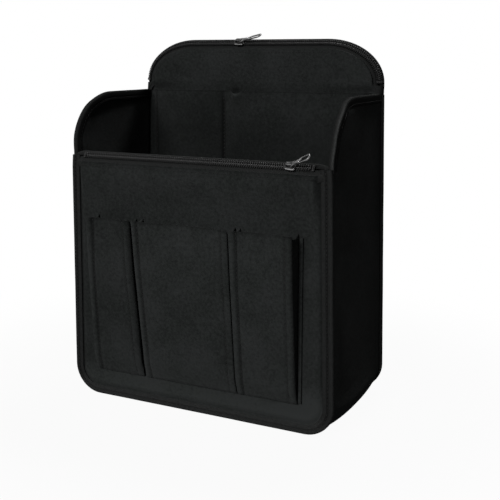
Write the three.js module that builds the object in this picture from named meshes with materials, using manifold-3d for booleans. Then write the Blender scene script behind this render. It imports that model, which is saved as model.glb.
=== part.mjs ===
// Backpack organizer insert: an open box of black felt with a low front wall and a tall back wall.
// Both walls are double, and each holds a flat compartment closed by a zip along its top edge.
// Three bellows pockets are sewn on the front, and one wide pocket with a seam down it lines the back.
// Side panels and a bottom panel join the walls a little inside the walls' edges, and a folded tape
// binds each wall's edge against them. Units are millimetres, X is to the right, Y is to the back and Z is up.
// The origin is at the middle of the underside.
import * as THREE from "three";
import { mergeVertices } from "three/addons/utils/BufferGeometryUtils.js";
import Module from "manifold-3d";

const wasm = await Module();
wasm.setup();

// Body, over the bound edges
const bottomWidth = 240;
const topWidth = 228;
const bodyDepth = 120;
const backHeight = 300;
const sideHeight = 256;
const frontHeight = 210;
const bottomCornerRadius = 24;
const backCornerAcross = 50;
const backCornerDown = 36;
const sideCornerAlong = 50;
const sideCornerDown = 46;

// Sheet materials and the clearance between layers that lie on each other
const felt = 2;
const bindingTape = 0.8;
const zipTape = 0.6;
const layerGap = 0.3;

// Seams: the side panels stand this far inside the bound edges, and a tape is folded over the edges
const seamStep = 2;
const bindingFlap = 8.5;
const edgeBindingFlap = 6.5;
const bottomSeamFromMiddle = 84;

// Zips: the ramp of tape that slopes from the lower felt edge up to the ridge
const zipNormalElevation = THREE.MathUtils.degToRad(35);
const zipRampHalf = 4.7;
const zipSlotHalf = 0.6;
const zipTapeEdge = 0.9;
const teethOuter = 2.3;
const teethHeight = 1.3;
const zipLegLength = 6;
const frontZipHalfLength = 102;
const zipSideClearance = 8;
const zipStopLength = 2.2;
const cutFeltBelowRidge = 5;

// Slider and pull, the same on both zips
const sliderLength = 9.4;
const sliderWidth = 7.6;
const sliderNoseWidth = 4.6;
const sliderPlate = 1.2;
const sliderFlange = 0.8;
const sliderBlade = 0.6;
const sliderBladeLength = 4;
const sliderUnderWidth = 6;
const sliderUnderPlate = 0.8;
const crownLength = 6.4;
const crownWidth = 1.6;
const crownLeg = 1;
const crownBar = 1;
const pullPinRadius = 0.55;
const pullThickness = 1.1;
const pullLength = 26;
const pullArmWidth = 0.9;
const pullStemLength = 8;
const pullStemHalf = 1.5;
const pullRingHalf = 3.3;
const pullRingWire = 1.3;
const frontSliderX = 83;
const backSliderX = -17;
const frontPullLift = THREE.MathUtils.degToRad(36);
const backPullLift = THREE.MathUtils.degToRad(18);

// Bellows pockets on the front
const pocketBottom = 22;
const pocketTop = 158;
const pocketMouthDepth = 17;
const pocketFootDepth = 5;
const pocketEdges = [
  ["left_front_pocket", -92, -51.2],
  ["centre_front_pocket", -50, 37],
  ["right_front_pocket", 38.2, 89],
];

// Pocket inside the back, with its divider seam
const innerPocketHalfWidth = 104;
const innerPocketBottom = 14;
const pocketSideClearance = 4;
const innerPocketDivider = -32;
const innerPocketBulge = 6.5;
const innerPocketBulgeStart = 70;
const innerPocketBulgeFull = 190;
const innerPocketArch = 3;

// How finely round shapes are cut
const cornerSteps = 7;
const curveSteps = 10;
const puffSteps = 4;
const bulgeSteps = 6;
const pocketColumn = 12;

// Layers from front to back, worked out from the sheets
const frontFelt = -(bodyDepth - bindingTape - layerGap + pocketMouthDepth) / 2 + pocketMouthDepth;
const frontEdge = frontFelt - layerGap - bindingTape;
const frontInnerFelt = frontFelt + felt + layerGap;
const gussetFront = frontInnerFelt + felt + layerGap;
const backEdge = frontEdge + bodyDepth;
const backFelt = backEdge - bindingTape - layerGap - felt;
const backInnerFelt = backFelt - layerGap - felt;
const gussetBack = backInnerFelt - layerGap;
const innerPocketFelt = gussetBack - felt;
const feltInset = bindingTape + layerGap;
const taper = (bottomWidth - topWidth) / 2 / (sideHeight - bottomCornerRadius);

// The back wall's round corners are limited by the wall that stands above the side panels
const backCornerFall = Math.min(backCornerDown, backHeight - sideHeight);
const backCornerFoot = backHeight - backCornerFall;
const backZipFoot = sideHeight + zipSideClearance;

// Materials
const black = (name, roughness, grey) =>
  new THREE.MeshStandardMaterial({ name, roughness, metalness: 0, color: new THREE.Color(grey, grey, grey) });
const feltBlack = black("felt", 0.95, 0.035);
const bindingBlack = black("binding_tape", 0.8, 0.03);
const zipBlack = black("zip_tape", 0.75, 0.03);
const teethBlack = black("zip_teeth", 0.45, 0.04);
const metal = new THREE.MeshStandardMaterial({
  name: "zip_metal", roughness: 0.3, metalness: 1, color: new THREE.Color(0.35, 0.35, 0.36),
});

const smooth = (t) => {
  const k = THREE.MathUtils.clamp(t, 0, 1);
  return k * k * (3 - 2 * k);
};

// Closed surface from points and triangles, turned so that its faces point out
function closedSurface(points, triangles) {
  const volume = triangles.reduce((sum, [a, b, c]) => {
    const cross = new THREE.Vector3().crossVectors(points[b], points[c]);
    return sum + points[a].dot(cross);
  }, 0);
  const facing = volume > 0 ? triangles : triangles.map(([a, b, c]) => [a, c, b]);
  const geometry = new THREE.BufferGeometry().setFromPoints(points);
  geometry.setIndex(facing.flat());
  return geometry;
}

// Solid through like sections, closed at both ends: the contour is one of the sections laid flat
function loft(sections, contour) {
  const points = sections.flat();
  const count = contour.length;
  const triangles = [];
  for (let s = 0; s + 1 < sections.length; s++) {
    for (let i = 0; i < count; i++) {
      const next = (i + 1) % count;
      const [a, b, c, d] = [s * count + i, s * count + next, (s + 1) * count + next, (s + 1) * count + i];
      triangles.push([a, b, c], [a, c, d]);
    }
  }
  const flat = contour.map(([a, b]) => new THREE.Vector2(a, b));
  const turn = Math.sign(THREE.ShapeUtils.area(flat));
  const last = (sections.length - 1) * count;
  for (const face of THREE.ShapeUtils.triangulateShape(flat, [])) {
    const alike = Math.sign(THREE.ShapeUtils.area(face.map((i) => flat[i]))) === turn;
    const [a, b, c] = alike ? face : face.toReversed();
    triangles.push([a, c, b], [a + last, b + last, c + last]);
  }
  return closedSurface(points, triangles);
}

// Solid swept along stations { origin, across, along }: a section point [a, b] lies at
// origin + a * across + b * along
function sweep(stations, section) {
  const sections = stations.map(({ origin, across, along }) =>
    section.map(([a, b]) => origin.clone().addScaledVector(across, a).addScaledVector(along, b)));
  return loft(sections, section);
}

// Sheet of even thickness from rows of points: the second skin lies at point + thickness
function sheet(rows, thickness) {
  const width = rows[0].length;
  const skin = rows.flat();
  const points = [...skin, ...skin.map((p) => p.clone().add(thickness))];
  const triangles = [];
  const quad = (a, b, c, d) => triangles.push([a, b, c], [a, c, d]);
  const at = (row, column, side) => side * skin.length + row * width + column;
  for (let r = 0; r + 1 < rows.length; r++) {
    for (let c = 0; c + 1 < width; c++) {
      quad(at(r, c, 0), at(r, c + 1, 0), at(r + 1, c + 1, 0), at(r + 1, c, 0));
      quad(at(r, c, 1), at(r + 1, c, 1), at(r + 1, c + 1, 1), at(r, c + 1, 1));
    }
    quad(at(r, 0, 1), at(r, 0, 0), at(r + 1, 0, 0), at(r + 1, 0, 1));
    quad(at(r, width - 1, 0), at(r, width - 1, 1), at(r + 1, width - 1, 1), at(r + 1, width - 1, 0));
  }
  const top = rows.length - 1;
  for (let c = 0; c + 1 < width; c++) {
    quad(at(0, c, 0), at(0, c, 1), at(0, c + 1, 1), at(0, c + 1, 0));
    quad(at(top, c, 1), at(top, c, 0), at(top, c + 1, 0), at(top, c + 1, 1));
  }
  return closedSurface(points, triangles);
}

// Section of a strip: a path of [a, b] points given a thickness to its left (+1) or right (-1)
function ribbon(path, thickness, side) {
  const directions = path.slice(1).map(([a, b], i) =>
    new THREE.Vector2(a - path[i][0], b - path[i][1]).normalize());
  const far = path.map(([a, b], i) => {
    const before = directions[Math.max(i - 1, 0)];
    const after = directions[Math.min(i, directions.length - 1)];
    const mid = before.clone().add(after).normalize();
    const reach = thickness / mid.dot(after);
    return [a - mid.y * reach * side, b + mid.x * reach * side];
  });
  return [...path, ...far.reverse()];
}

const evenly = (count, at) => Array.from({ length: count + 1 }, (_, i) => at(i / count));

// Manifold solids, for the pieces that are joined or cut
function solidOf(geometry) {
  const bare = geometry.clone();
  bare.deleteAttribute("normal");
  bare.deleteAttribute("uv");
  const merged = mergeVertices(bare, 1e-4);
  const triVerts = new Uint32Array(merged.index.array);
  const vertProperties = merged.attributes.position.array;
  return new wasm.Manifold(new wasm.Mesh({ numProp: 3, vertProperties, triVerts }));
}

function geometryOf(solid) {
  const { vertProperties, triVerts } = solid.getMesh();
  const geometry = new THREE.BufferGeometry();
  geometry.setAttribute("position", new THREE.BufferAttribute(vertProperties, 3));
  geometry.setIndex(new THREE.BufferAttribute(triVerts, 1));
  return geometry;
}

const joined = (geometries) => geometryOf(geometries.map(solidOf).reduce((all, next) => all.add(next)));

function boxBetween([x0, y0, z0], [x1, y1, z1]) {
  const box = new THREE.BoxGeometry(x1 - x0, y1 - y0, z1 - z0);
  return box.translate((x0 + x1) / 2, (y0 + y1) / 2, (z0 + z1) / 2);
}

function meshOf(name, geometry, material) {
  const mesh = new THREE.Mesh(geometry, material);
  mesh.name = name;
  return mesh;
}

function groupOf(...members) {
  const group = new THREE.Group();
  group.add(...members);
  return group;
}

// Outline of the walls: straight sides that lean in, and round bottom corners
const cornerX = bottomWidth / 2 - bottomCornerRadius;
const sideAt = (z) => bottomWidth / 2 - taper * (z - bottomCornerRadius);

function wallHalfWidth(z, inset) {
  if (z >= bottomCornerRadius) return sideAt(z) - inset;
  const radius = bottomCornerRadius - inset;
  const drop = bottomCornerRadius - z;
  return cornerX + Math.sqrt(Math.max(radius * radius - drop * drop, 0));
}

// The back wall's outline ends in two wide round corners at the top
const backStraightHalf = sideAt(backCornerFoot) - backCornerAcross;
const backCornerPoint = (angle, inset) => ({
  x: backStraightHalf + (backCornerAcross - inset) * Math.cos(angle),
  z: backCornerFoot + (backCornerFall - inset) * Math.sin(angle),
});
const backInward = (angle) => new THREE.Vector2(
  -Math.cos(angle) / backCornerAcross,
  -Math.sin(angle) / backCornerFall,
).normalize();

// Heights of the rows that follow the round bottom corners at an inset
const cornerHeights = (inset) => evenly(cornerSteps, (t) =>
  bottomCornerRadius - (bottomCornerRadius - inset) * Math.cos((t * Math.PI) / 2));

// Stations up one side of the outline, from the bottom seam: side is -1 on the left, +1 on the right
function sideStations(side, top) {
  const y = new THREE.Vector3(0, 1, 0);
  const station = (x, z, angle) => ({
    origin: new THREE.Vector3(side * x, 0, z),
    across: new THREE.Vector3(-side * Math.cos(angle), 0, Math.sin(angle)),
    along: y,
  });
  const arc = evenly(cornerSteps, (t) => {
    const angle = ((1 - t) * Math.PI) / 2;
    return station(
      cornerX + bottomCornerRadius * Math.cos(angle),
      bottomCornerRadius * (1 - Math.sin(angle)),
      angle,
    );
  });
  const lean = -Math.atan(taper);
  return [
    station(bottomSeamFromMiddle + layerGap / 2, 0, Math.PI / 2),
    ...arc.slice(0, -1),
    station(sideAt(bottomCornerRadius), bottomCornerRadius, lean / 2),
    station(sideAt(top), top, lean),
  ];
}

const bottomStations = (half) => [-half, half].map((x) => ({
  origin: new THREE.Vector3(x, 0, 0),
  across: new THREE.Vector3(0, 0, 1),
  along: new THREE.Vector3(0, 1, 0),
}));

const wallStations = (top) => [
  ...sideStations(-1, top).slice(1).reverse(),
  ...sideStations(1, top).slice(1),
];

// Front wall
const zipUp = [-Math.cos(zipNormalElevation), Math.sin(zipNormalElevation)];
const zipOut = [-Math.sin(zipNormalElevation), -Math.cos(zipNormalElevation)];
const zipCentre = [-zipRampHalf * zipUp[0], -zipRampHalf * zipUp[1]];
const zipPoint = (up, out) => [0, 1].map((i) => zipCentre[i] + up * zipUp[i] + out * zipOut[i]);
const [rampFootInset, rampFootY] = zipPoint(-zipRampHalf, 0);
const coveredFeltInset = rampFootInset + layerGap;

// The lower felt edge of a zip stands forward of its own seam, so that the tape can slope back
const frontRidgeY = frontInnerFelt + felt / 2;
const backRidgeY = backFelt + felt / 2;
const frontPuff = frontFelt + felt - (frontRidgeY + rampFootY - layerGap);
const backPuff = backInnerFelt + felt - (backRidgeY + rampFootY - layerGap);
const puffHeight = 27;
const puffEdge = 5.5;
const backFoldFrom = 30;
const backFoldTo = 17;
const frontWallTop = frontHeight - cutFeltBelowRidge;

function frontOuterPanel() {
  const top = frontHeight - coveredFeltInset;
  const fullPuffFrom = top - zipLegLength - felt;
  const heights = [
    ...cornerHeights(feltInset),
    ...evenly(puffSteps + 1, (t) => fullPuffFrom - puffHeight * (1 - t)),
    top,
  ];
  const flat = [-1, 1].map((side) => side * (frontZipHalfLength + puffEdge));
  const steps = evenly(puffSteps, (t) => [t * puffEdge, smooth(t)]);
  const rows = heights.map((z) => {
    const half = wallHalfWidth(z, feltInset);
    const rise = smooth((z - fullPuffFrom + puffHeight) / puffHeight);
    const left = steps.map(([across, s]) => [flat[0] + across, s]);
    const right = steps.map(([across, s]) => [flat[1] - across, s]).reverse();
    const columns = [[-half, 0], ...left, [0, 1], ...right, [half, 0]];
    const shrink = Math.min(1, (half - felt) / flat[1]);
    return columns.map(([x, s], i) => {
      const inner = i > 0 && i < columns.length - 1;
      return new THREE.Vector3(inner ? x * shrink : x, frontFelt - frontPuff * s * rise, z);
    });
  });
  return sheet(rows, new THREE.Vector3(0, felt, 0));
}

function frontInnerPanel() {
  const rows = [...cornerHeights(feltInset), frontWallTop].map((z) =>
    [-1, 1].map((side) => new THREE.Vector3(side * wallHalfWidth(z, feltInset), frontInnerFelt, z)));
  return sheet(rows, new THREE.Vector3(0, felt, 0));
}

// Section of a tape folded over a wall's edge: wide on the wall's outside, short on the inside,
// where it ends at the side panel
const foldedTape = (outer, inner) => {
  const turn = Math.sign(inner - outer) * bindingTape;
  const innerFlap = seamStep - layerGap;
  return [
    [0, outer], [bindingFlap, outer], [bindingFlap, outer + turn], [bindingTape, outer + turn],
    [bindingTape, inner - turn], [innerFlap, inner - turn], [innerFlap, inner], [0, inner],
  ];
};

const frontBinding = () => sweep(wallStations(frontWallTop), foldedTape(frontEdge, gussetFront + bindingTape));

// A pocket is a strip of felt with two folded sides, its face leaning out towards the mouth
function frontPocket(left, right) {
  const back = frontFelt - layerGap;
  const flatSection = (depth) => {
    const face = frontFelt - depth;
    return ribbon([[left, back], [left, face], [right, face], [right, back]], felt, 1);
  };
  const sections = [[pocketBottom, pocketFootDepth], [pocketTop, pocketMouthDepth]].map(([z, depth]) =>
    flatSection(depth).map(([x, y]) => new THREE.Vector3(x, y, z)));
  const walls = loft(sections, flatSection(pocketMouthDepth));
  const foot = boxBetween(
    [left, frontFelt - pocketFootDepth, pocketBottom],
    [right, back, pocketBottom + felt],
  );
  return joined([walls, foot]);
}

// Side panels and bottom: one strip of felt between the walls
const gussetSection = (front) => [
  [seamStep, front], [seamStep + felt, front], [seamStep + felt, gussetBack], [seamStep, gussetBack],
];

// Free edge of a side panel, as [y, z] points: from the top of the front wall it rises, turns back
// in a wide corner and runs level to the back wall
const freeEdgeFront = frontInnerFelt;
const freeEdgeBack = gussetBack - bindingTape - layerGap;
const freeEdgeFoot = frontWallTop + layerGap;
const sideCornerFall = Math.min(sideCornerDown, sideHeight - freeEdgeFoot - layerGap);
const freeEdge = (inset) => [
  [freeEdgeFront + inset, freeEdgeFoot],
  ...evenly(curveSteps, (t) => {
    const angle = (t * Math.PI) / 2;
    return [
      freeEdgeFront + sideCornerAlong - (sideCornerAlong - inset) * Math.cos(angle),
      sideHeight - sideCornerFall + (sideCornerFall - inset) * Math.sin(angle),
    ];
  }),
  [freeEdgeBack, sideHeight - inset],
];

function sidePanel(side) {
  const blank = solidOf(sweep(sideStations(side, sideHeight), gussetSection(freeEdgeFront)));
  const profile = [
    [gussetFront, -felt],
    [gussetFront, freeEdgeFoot],
    ...freeEdge(feltInset).slice(0, -1),
    [backEdge, sideHeight - feltInset],
    [backEdge, -felt],
  ];
  const across = new THREE.Vector3(0, 1, 0);
  const along = new THREE.Vector3(0, 0, 1);
  const stations = [-bottomWidth, bottomWidth].map((x) => ({
    origin: new THREE.Vector3(x, 0, 0), across, along,
  }));
  return geometryOf(blank.intersect(solidOf(sweep(stations, profile))));
}

const bottomPanel = () =>
  sweep(bottomStations(bottomSeamFromMiddle - layerGap / 2), gussetSection(gussetFront));

// Tape folded over the free edge of a side panel
function sideBinding(side) {
  const edge = freeEdge(feltInset);
  const stations = edge.map(([y, z], i) => {
    const [y0, z0] = edge[Math.max(i - 1, 0)];
    const [y1, z1] = edge[Math.min(i + 1, edge.length - 1)];
    const inward = new THREE.Vector2(z1 - z0, -(y1 - y0)).normalize();
    const x = side * (sideAt(z) - seamStep - felt / 2);
    return {
      origin: new THREE.Vector3(x, y, z),
      across: new THREE.Vector3(-side * taper * inward.y, inward.x, inward.y).normalize(),
      along: new THREE.Vector3(side, 0, taper).normalize(),
    };
  });
  const half = felt / 2 + layerGap + bindingTape;
  const inner = half - bindingTape;
  return sweep(stations, [
    [-feltInset, -half], [edgeBindingFlap, -half], [edgeBindingFlap, -inner], [-layerGap, -inner],
    [-layerGap, inner], [edgeBindingFlap, inner], [edgeBindingFlap, half], [-feltInset, half],
  ]);
}

// The zip starts on the straight edge or on the round corner, and its tape's leg reaches down from there
const backZipAngle = Math.asin(Math.max(backZipFoot - backCornerFoot, 0) / backCornerFall);
const backZipLow = backZipFoot + (rampFootInset + zipLegLength) * backInward(backZipAngle).y;

// Back wall: rows of a panel from its foot to its top, each with its height and its half width. The
// panel's edge draws back from the binding to the zip's inset in the stretch above the side panels
function backRows(zipInset, steps) {
  const insetAt = (z) =>
    THREE.MathUtils.lerp(feltInset, zipInset, smooth((z - sideHeight) / zipSideClearance));
  const changes = [
    backHeight - backFoldFrom,
    backHeight - backFoldTo,
    backZipLow - zipSideClearance,
    backZipLow,
    ...evenly(steps, (t) => THREE.MathUtils.lerp(sideHeight, backZipFoot, t)),
  ];
  const straight = [
    ...cornerHeights(feltInset),
    ...changes.filter((z) => z < backCornerFoot),
    backCornerFoot,
  ].toSorted((low, high) => low - high);
  const corner = evenly(curveSteps, (t) => {
    const angle = (t * Math.PI) / 2;
    const { x, z } = backCornerPoint(angle, insetAt(backCornerPoint(angle, 0).z));
    return { z, half: x };
  });
  const rows = [...straight.map((z) => ({ z, half: wallHalfWidth(z, insetAt(z)) })), ...corner.slice(1)];
  return rows.filter(({ z }, i) => i === 0 || z - rows[i - 1].z > layerGap / 2);
}

function backOuterPanel() {
  const rows = backRows(cutFeltBelowRidge, 1).map(({ z, half }) =>
    [-half, half].map((x) => new THREE.Vector3(x, backFelt, z)));
  return sheet(rows, new THREE.Vector3(0, felt, 0));
}

// How far in from the back wall's outline a point lies
function fromBackOutline(x, z) {
  if (z <= backCornerFoot) return Math.min(sideAt(z) - Math.abs(x), backHeight - z);
  const across = Math.max(Math.abs(x) - backStraightHalf, 0) / backCornerAcross;
  const up = (z - backCornerFoot) / backCornerFall;
  const level = Math.hypot(across, up);
  return (1 - level) * THREE.MathUtils.lerp(backCornerAcross, backCornerFall, (up / level) ** 2);
}

// Beside the side panels the felt lies flat, and above them it stands forward of the zip
function backRise(x, z) {
  const up = smooth((z - backZipLow) / zipSideClearance + 1);
  const besideSide = sideAt(z) - seamStep - felt - 2 * layerGap - Math.abs(x);
  return z > sideHeight ? up : up * smooth(besideSide / zipSideClearance);
}

function backInnerPanel() {
  const foldColumns = [0, backFoldTo / 2, backFoldTo, (backFoldFrom + backFoldTo) / 2, backFoldFrom];
  const rows = backRows(coveredFeltInset, 3).map(({ z, half }) => {
    const left = foldColumns.map((inset) => inset - half);
    const columns = [...left, left.at(-1) / 2, 0, -left.at(-1) / 2, ...left.map((x) => -x).reverse()];
    return columns.map((x) => {
      const share = (backFoldFrom - fromBackOutline(x, z)) / (backFoldFrom - backFoldTo);
      return new THREE.Vector3(x, backInnerFelt - backPuff * smooth(share) * backRise(x, z), z);
    });
  });
  return sheet(rows, new THREE.Vector3(0, felt, 0));
}

const backBinding = () =>
  sweep(wallStations(sideHeight - feltInset), foldedTape(backEdge, gussetBack - bindingTape));

// The wide pocket stands off the wall between its seams, most of all at its mouth, which lies below the
// side panels' tops and below the fold over the zip
const innerPocketTop = Math.min(sideHeight - pocketSideClearance, backHeight - backFoldFrom - layerGap);

function innerPocket() {
  const seams = [-innerPocketHalfWidth, innerPocketDivider, innerPocketHalfWidth];
  const columns = seams.slice(1).flatMap((right, i) => {
    const left = seams[i];
    const steps = Math.round((right - left) / pocketColumn);
    const arch = (t) => 1 - Math.abs(2 * t - 1) ** innerPocketArch;
    return evenly(steps, (t) => [left + (right - left) * t, arch(t)]).slice(i);
  });
  const heights = [
    innerPocketBottom,
    ...evenly(bulgeSteps, (t) => THREE.MathUtils.lerp(innerPocketBulgeStart, innerPocketBulgeFull, t)),
    innerPocketTop,
  ];
  const rows = heights.map((z) => {
    const rise = smooth((z - innerPocketBulgeStart) / (innerPocketBulgeFull - innerPocketBulgeStart));
    return columns.map(([x, share]) =>
      new THREE.Vector3(x, innerPocketFelt - innerPocketBulge * share * rise, z));
  });
  return sheet(rows, new THREE.Vector3(0, felt, 0));
}

// Zip sections, as [inset from the ridge, y from the ridge]
const ridgeLeg = felt / 2 + layerGap + zipTape;
const ridgeTapeSection = ribbon(
  [zipPoint(zipTapeEdge, 0), [0, 0], [zipTape, ridgeLeg - zipTape / 2], [zipTape * 2, ridgeLeg],
    [rampFootInset, ridgeLeg]],
  zipTape,
  -1,
);
const footTapeSection = ribbon(
  [zipPoint(-zipTapeEdge, 0), [rampFootInset, rampFootY], [rampFootInset + zipLegLength, rampFootY]],
  zipTape,
  1,
);
const teethSection = (from, to) => [
  zipPoint(from, layerGap), zipPoint(to, layerGap),
  zipPoint(to, layerGap + teethHeight), zipPoint(from, layerGap + teethHeight),
];

const straightStations = (from, to, y, z) => [from, to].map((x) => ({
  origin: new THREE.Vector3(x, y, z),
  across: new THREE.Vector3(0, 0, -1),
  along: new THREE.Vector3(0, 1, 0),
}));

// Stations along the back wall's edge from above one side panel to above the other, left to right
function backZipStations() {
  const along = new THREE.Vector3(0, 1, 0);
  const lean = new THREE.Vector2(-1, -taper).normalize();
  const straight = backZipFoot < backCornerFoot ? [{ x: sideAt(backZipFoot), z: backZipFoot, inward: lean }] : [];
  const corner = evenly(curveSteps, (t) => {
    const angle = THREE.MathUtils.lerp(backZipAngle, Math.PI / 2, t);
    return { ...backCornerPoint(angle, 0), inward: backInward(angle) };
  });
  const station = (side) => ({ x, z, inward }) => ({
    origin: new THREE.Vector3(side * x, backRidgeY, z),
    across: new THREE.Vector3(side * inward.x, 0, inward.y),
    along,
  });
  const edge = [...straight, ...corner];
  return [...edge.map(station(-1)), ...edge.map(station(1)).reverse()];
}

// Ends of a run of stations, shortened by the length of a stop
const shorten = (stations, length) => stations.map((station, i) => {
  const inner = i === 0 ? stations[1] : stations[stations.length - 2];
  if (i > 0 && i < stations.length - 1) return station;
  const share = length / station.origin.distanceTo(inner.origin);
  return {
    origin: station.origin.clone().lerp(inner.origin, share),
    across: station.across.clone().lerp(inner.across, share).normalize(),
    along: station.along,
  };
});

function zipTapesAndTeeth(prefix, names, stations) {
  const run = shorten(stations, zipStopLength + layerGap);
  const end = (from, to) => sweep([from, to], teethSection(-teethOuter, teethOuter));
  const rowEnds = shorten(stations, zipStopLength);
  const last = stations.length - 1;
  return [
    meshOf(`${prefix}_${names[0]}_tape`, sweep(stations, ridgeTapeSection), zipBlack),
    meshOf(`${prefix}_${names[1]}_tape`, sweep(stations, footTapeSection), zipBlack),
    meshOf(`${prefix}_${names[0]}_teeth`, sweep(run, teethSection(zipSlotHalf, teethOuter)), teethBlack),
    meshOf(`${prefix}_${names[1]}_teeth`, sweep(run, teethSection(-teethOuter, -zipSlotHalf)), teethBlack),
    meshOf(`${prefix}_left_stop`, end(stations[0], rowEnds[0]), metal),
    meshOf(`${prefix}_right_stop`, end(rowEnds[last], stations[last]), metal),
  ];
}

// Slider, in the frame of its zip: x along the teeth, y up the ramp, z out of it
const plateUnder = layerGap + teethHeight + layerGap;
const plateTop = plateUnder + sliderPlate;
const crownWindow = pullPinRadius * 2 + layerGap * 2;
const pinHeight = plateTop + crownWindow / 2;

function slider() {
  const nose = sliderNoseWidth / 2;
  const half = sliderWidth / 2;
  const end = sliderLength / 2;
  const shoulder = end - (half - nose);
  const outline = new THREE.Shape();
  outline.moveTo(-end, -nose);
  outline.quadraticCurveTo(-shoulder, -half, 0, -half);
  outline.lineTo(shoulder, -half);
  outline.quadraticCurveTo(end, -half, end, -nose);
  outline.lineTo(end, nose);
  outline.quadraticCurveTo(end, half, shoulder, half);
  outline.lineTo(0, half);
  outline.quadraticCurveTo(-shoulder, half, -end, nose);
  outline.closePath();
  const plate = new THREE.ExtrudeGeometry(outline, { depth: sliderPlate, bevelEnabled: false, curveSegments: 4 });
  plate.translate(0, 0, plateUnder);
  const flanges = [-1, 1].map((side) => {
    const outer = side * half;
    const inner = side * (half - sliderFlange);
    return boxBetween(
      [-shoulder / 2, Math.min(outer, inner), layerGap],
      [shoulder, Math.max(outer, inner), plateUnder + sliderPlate / 2],
    );
  });
  const blade = boxBetween(
    [-sliderBladeLength / 2, -sliderBlade / 2, -zipTape - layerGap - sliderUnderPlate / 2],
    [sliderBladeLength / 2, sliderBlade / 2, plateUnder + sliderPlate / 2],
  );
  const under = boxBetween(
    [-sliderLength / 2 + nose / 2, -sliderUnderWidth / 2, -zipTape - layerGap - sliderUnderPlate],
    [sliderLength / 2, sliderUnderWidth / 2, -zipTape - layerGap],
  );
  const legs = [-1, 1].map((side) => {
    const outer = (side * crownLength) / 2;
    const inner = side * (crownLength / 2 - crownLeg);
    return boxBetween(
      [Math.min(outer, inner), -crownWidth / 2, plateUnder + sliderPlate / 2],
      [Math.max(outer, inner), crownWidth / 2, plateTop + crownWindow + crownBar],
    );
  });
  const bar = boxBetween(
    [-crownLength / 2, -crownWidth / 2, plateTop + crownWindow],
    [crownLength / 2, crownWidth / 2, plateTop + crownWindow + crownBar],
  );
  return joined([plate, ...flanges, blade, under, ...legs, bar]);
}

// Pull, from its pin at the origin along +x: a yoke that straddles the crown, a stem and a long ring
function pull() {
  const armInner = crownWidth / 2 + layerGap;
  const armOuter = armInner + pullArmWidth;
  const crownReach = Math.hypot(crownLength / 2, crownWindow / 2 + crownBar);
  const yokeEnd = crownReach + layerGap;
  const stemEnd = yokeEnd + pullStemLength;
  const ringEnd = pullLength - pullRingHalf;
  const outline = new THREE.Shape();
  outline.moveTo(-pullPinRadius, -armOuter);
  outline.lineTo(yokeEnd, -armOuter);
  outline.quadraticCurveTo(yokeEnd + armOuter, -pullStemHalf, stemEnd - pullRingHalf, -pullStemHalf);
  outline.quadraticCurveTo(stemEnd, -pullStemHalf, stemEnd + pullRingHalf / 2, -pullRingHalf);
  outline.lineTo(ringEnd, -pullRingHalf);
  outline.absarc(ringEnd, 0, pullRingHalf, -Math.PI / 2, Math.PI / 2, false);
  outline.lineTo(stemEnd + pullRingHalf / 2, pullRingHalf);
  outline.quadraticCurveTo(stemEnd, pullStemHalf, stemEnd - pullRingHalf, pullStemHalf);
  outline.quadraticCurveTo(yokeEnd + armOuter, pullStemHalf, yokeEnd, armOuter);
  outline.lineTo(-pullPinRadius, armOuter);
  outline.closePath();
  const ringHole = new THREE.Path();
  const holeHalf = pullRingHalf - pullRingWire;
  ringHole.absarc(stemEnd + pullRingHalf, 0, holeHalf, Math.PI / 2, (3 * Math.PI) / 2, false);
  ringHole.absarc(ringEnd, 0, holeHalf, -Math.PI / 2, Math.PI / 2, false);
  ringHole.closePath();
  outline.holes.push(ringHole);
  const flat = new THREE.ExtrudeGeometry(outline, { depth: pullThickness, bevelEnabled: false, curveSegments: 6 });
  flat.translate(0, 0, -pullThickness / 2);
  const window = boxBetween(
    [-pullPinRadius - felt, -armInner, -pullThickness],
    [yokeEnd, armInner, pullThickness],
  );
  const pin = new THREE.CylinderGeometry(pullPinRadius, pullPinRadius, 2 * armInner + pullArmWidth, 12);
  return geometryOf(solidOf(flat).subtract(solidOf(window)).add(solidOf(pin)));
}

// A zip's moving pieces in one group that stands on the middle of the ramp
function sliderAndPull(prefix, x, lift, ridgeY, ridgeZ) {
  const pullMesh = meshOf(`${prefix}_pull`, pull(), metal);
  pullMesh.position.set(0, 0, pinHeight);
  pullMesh.rotation.y = -lift;
  const group = groupOf(meshOf(`${prefix}_slider`, slider(), metal), pullMesh);
  group.position.set(x, ridgeY + zipCentre[1], ridgeZ - zipCentre[0]);
  group.rotation.x = Math.PI / 2 - zipNormalElevation;
  return group;
}

const frontZipStations = straightStations(-frontZipHalfLength, frontZipHalfLength, frontRidgeY, frontHeight);
const frontWall = groupOf(
  meshOf("front_outer_panel", frontOuterPanel(), feltBlack),
  meshOf("front_inner_panel", frontInnerPanel(), feltBlack),
  meshOf("front_binding", frontBinding(), bindingBlack),
  ...pocketEdges.map(([name, left, right]) => meshOf(name, frontPocket(left, right), feltBlack)),
  ...zipTapesAndTeeth("front_zip", ["upper", "lower"], frontZipStations),
  sliderAndPull("front_zip", frontSliderX, frontPullLift, frontRidgeY, frontHeight),
);

const backWall = groupOf(
  meshOf("back_outer_panel", backOuterPanel(), feltBlack),
  meshOf("back_inner_panel", backInnerPanel(), feltBlack),
  meshOf("back_binding", backBinding(), bindingBlack),
  meshOf("inner_back_pocket", innerPocket(), feltBlack),
  ...zipTapesAndTeeth("back_zip", ["outer", "inner"], backZipStations()),
  sliderAndPull("back_zip", backSliderX, backPullLift, backRidgeY, backHeight),
);

const gusset = groupOf(
  ...[["left", -1], ["right", 1]].flatMap(([name, side]) => [
    meshOf(`${name}_side_panel`, sidePanel(side), feltBlack),
    meshOf(`${name}_side_binding`, sideBinding(side), bindingBlack),
  ]),
  meshOf("bottom_panel", bottomPanel(), feltBlack),
);

export default groupOf(frontWall, backWall, gusset);
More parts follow.
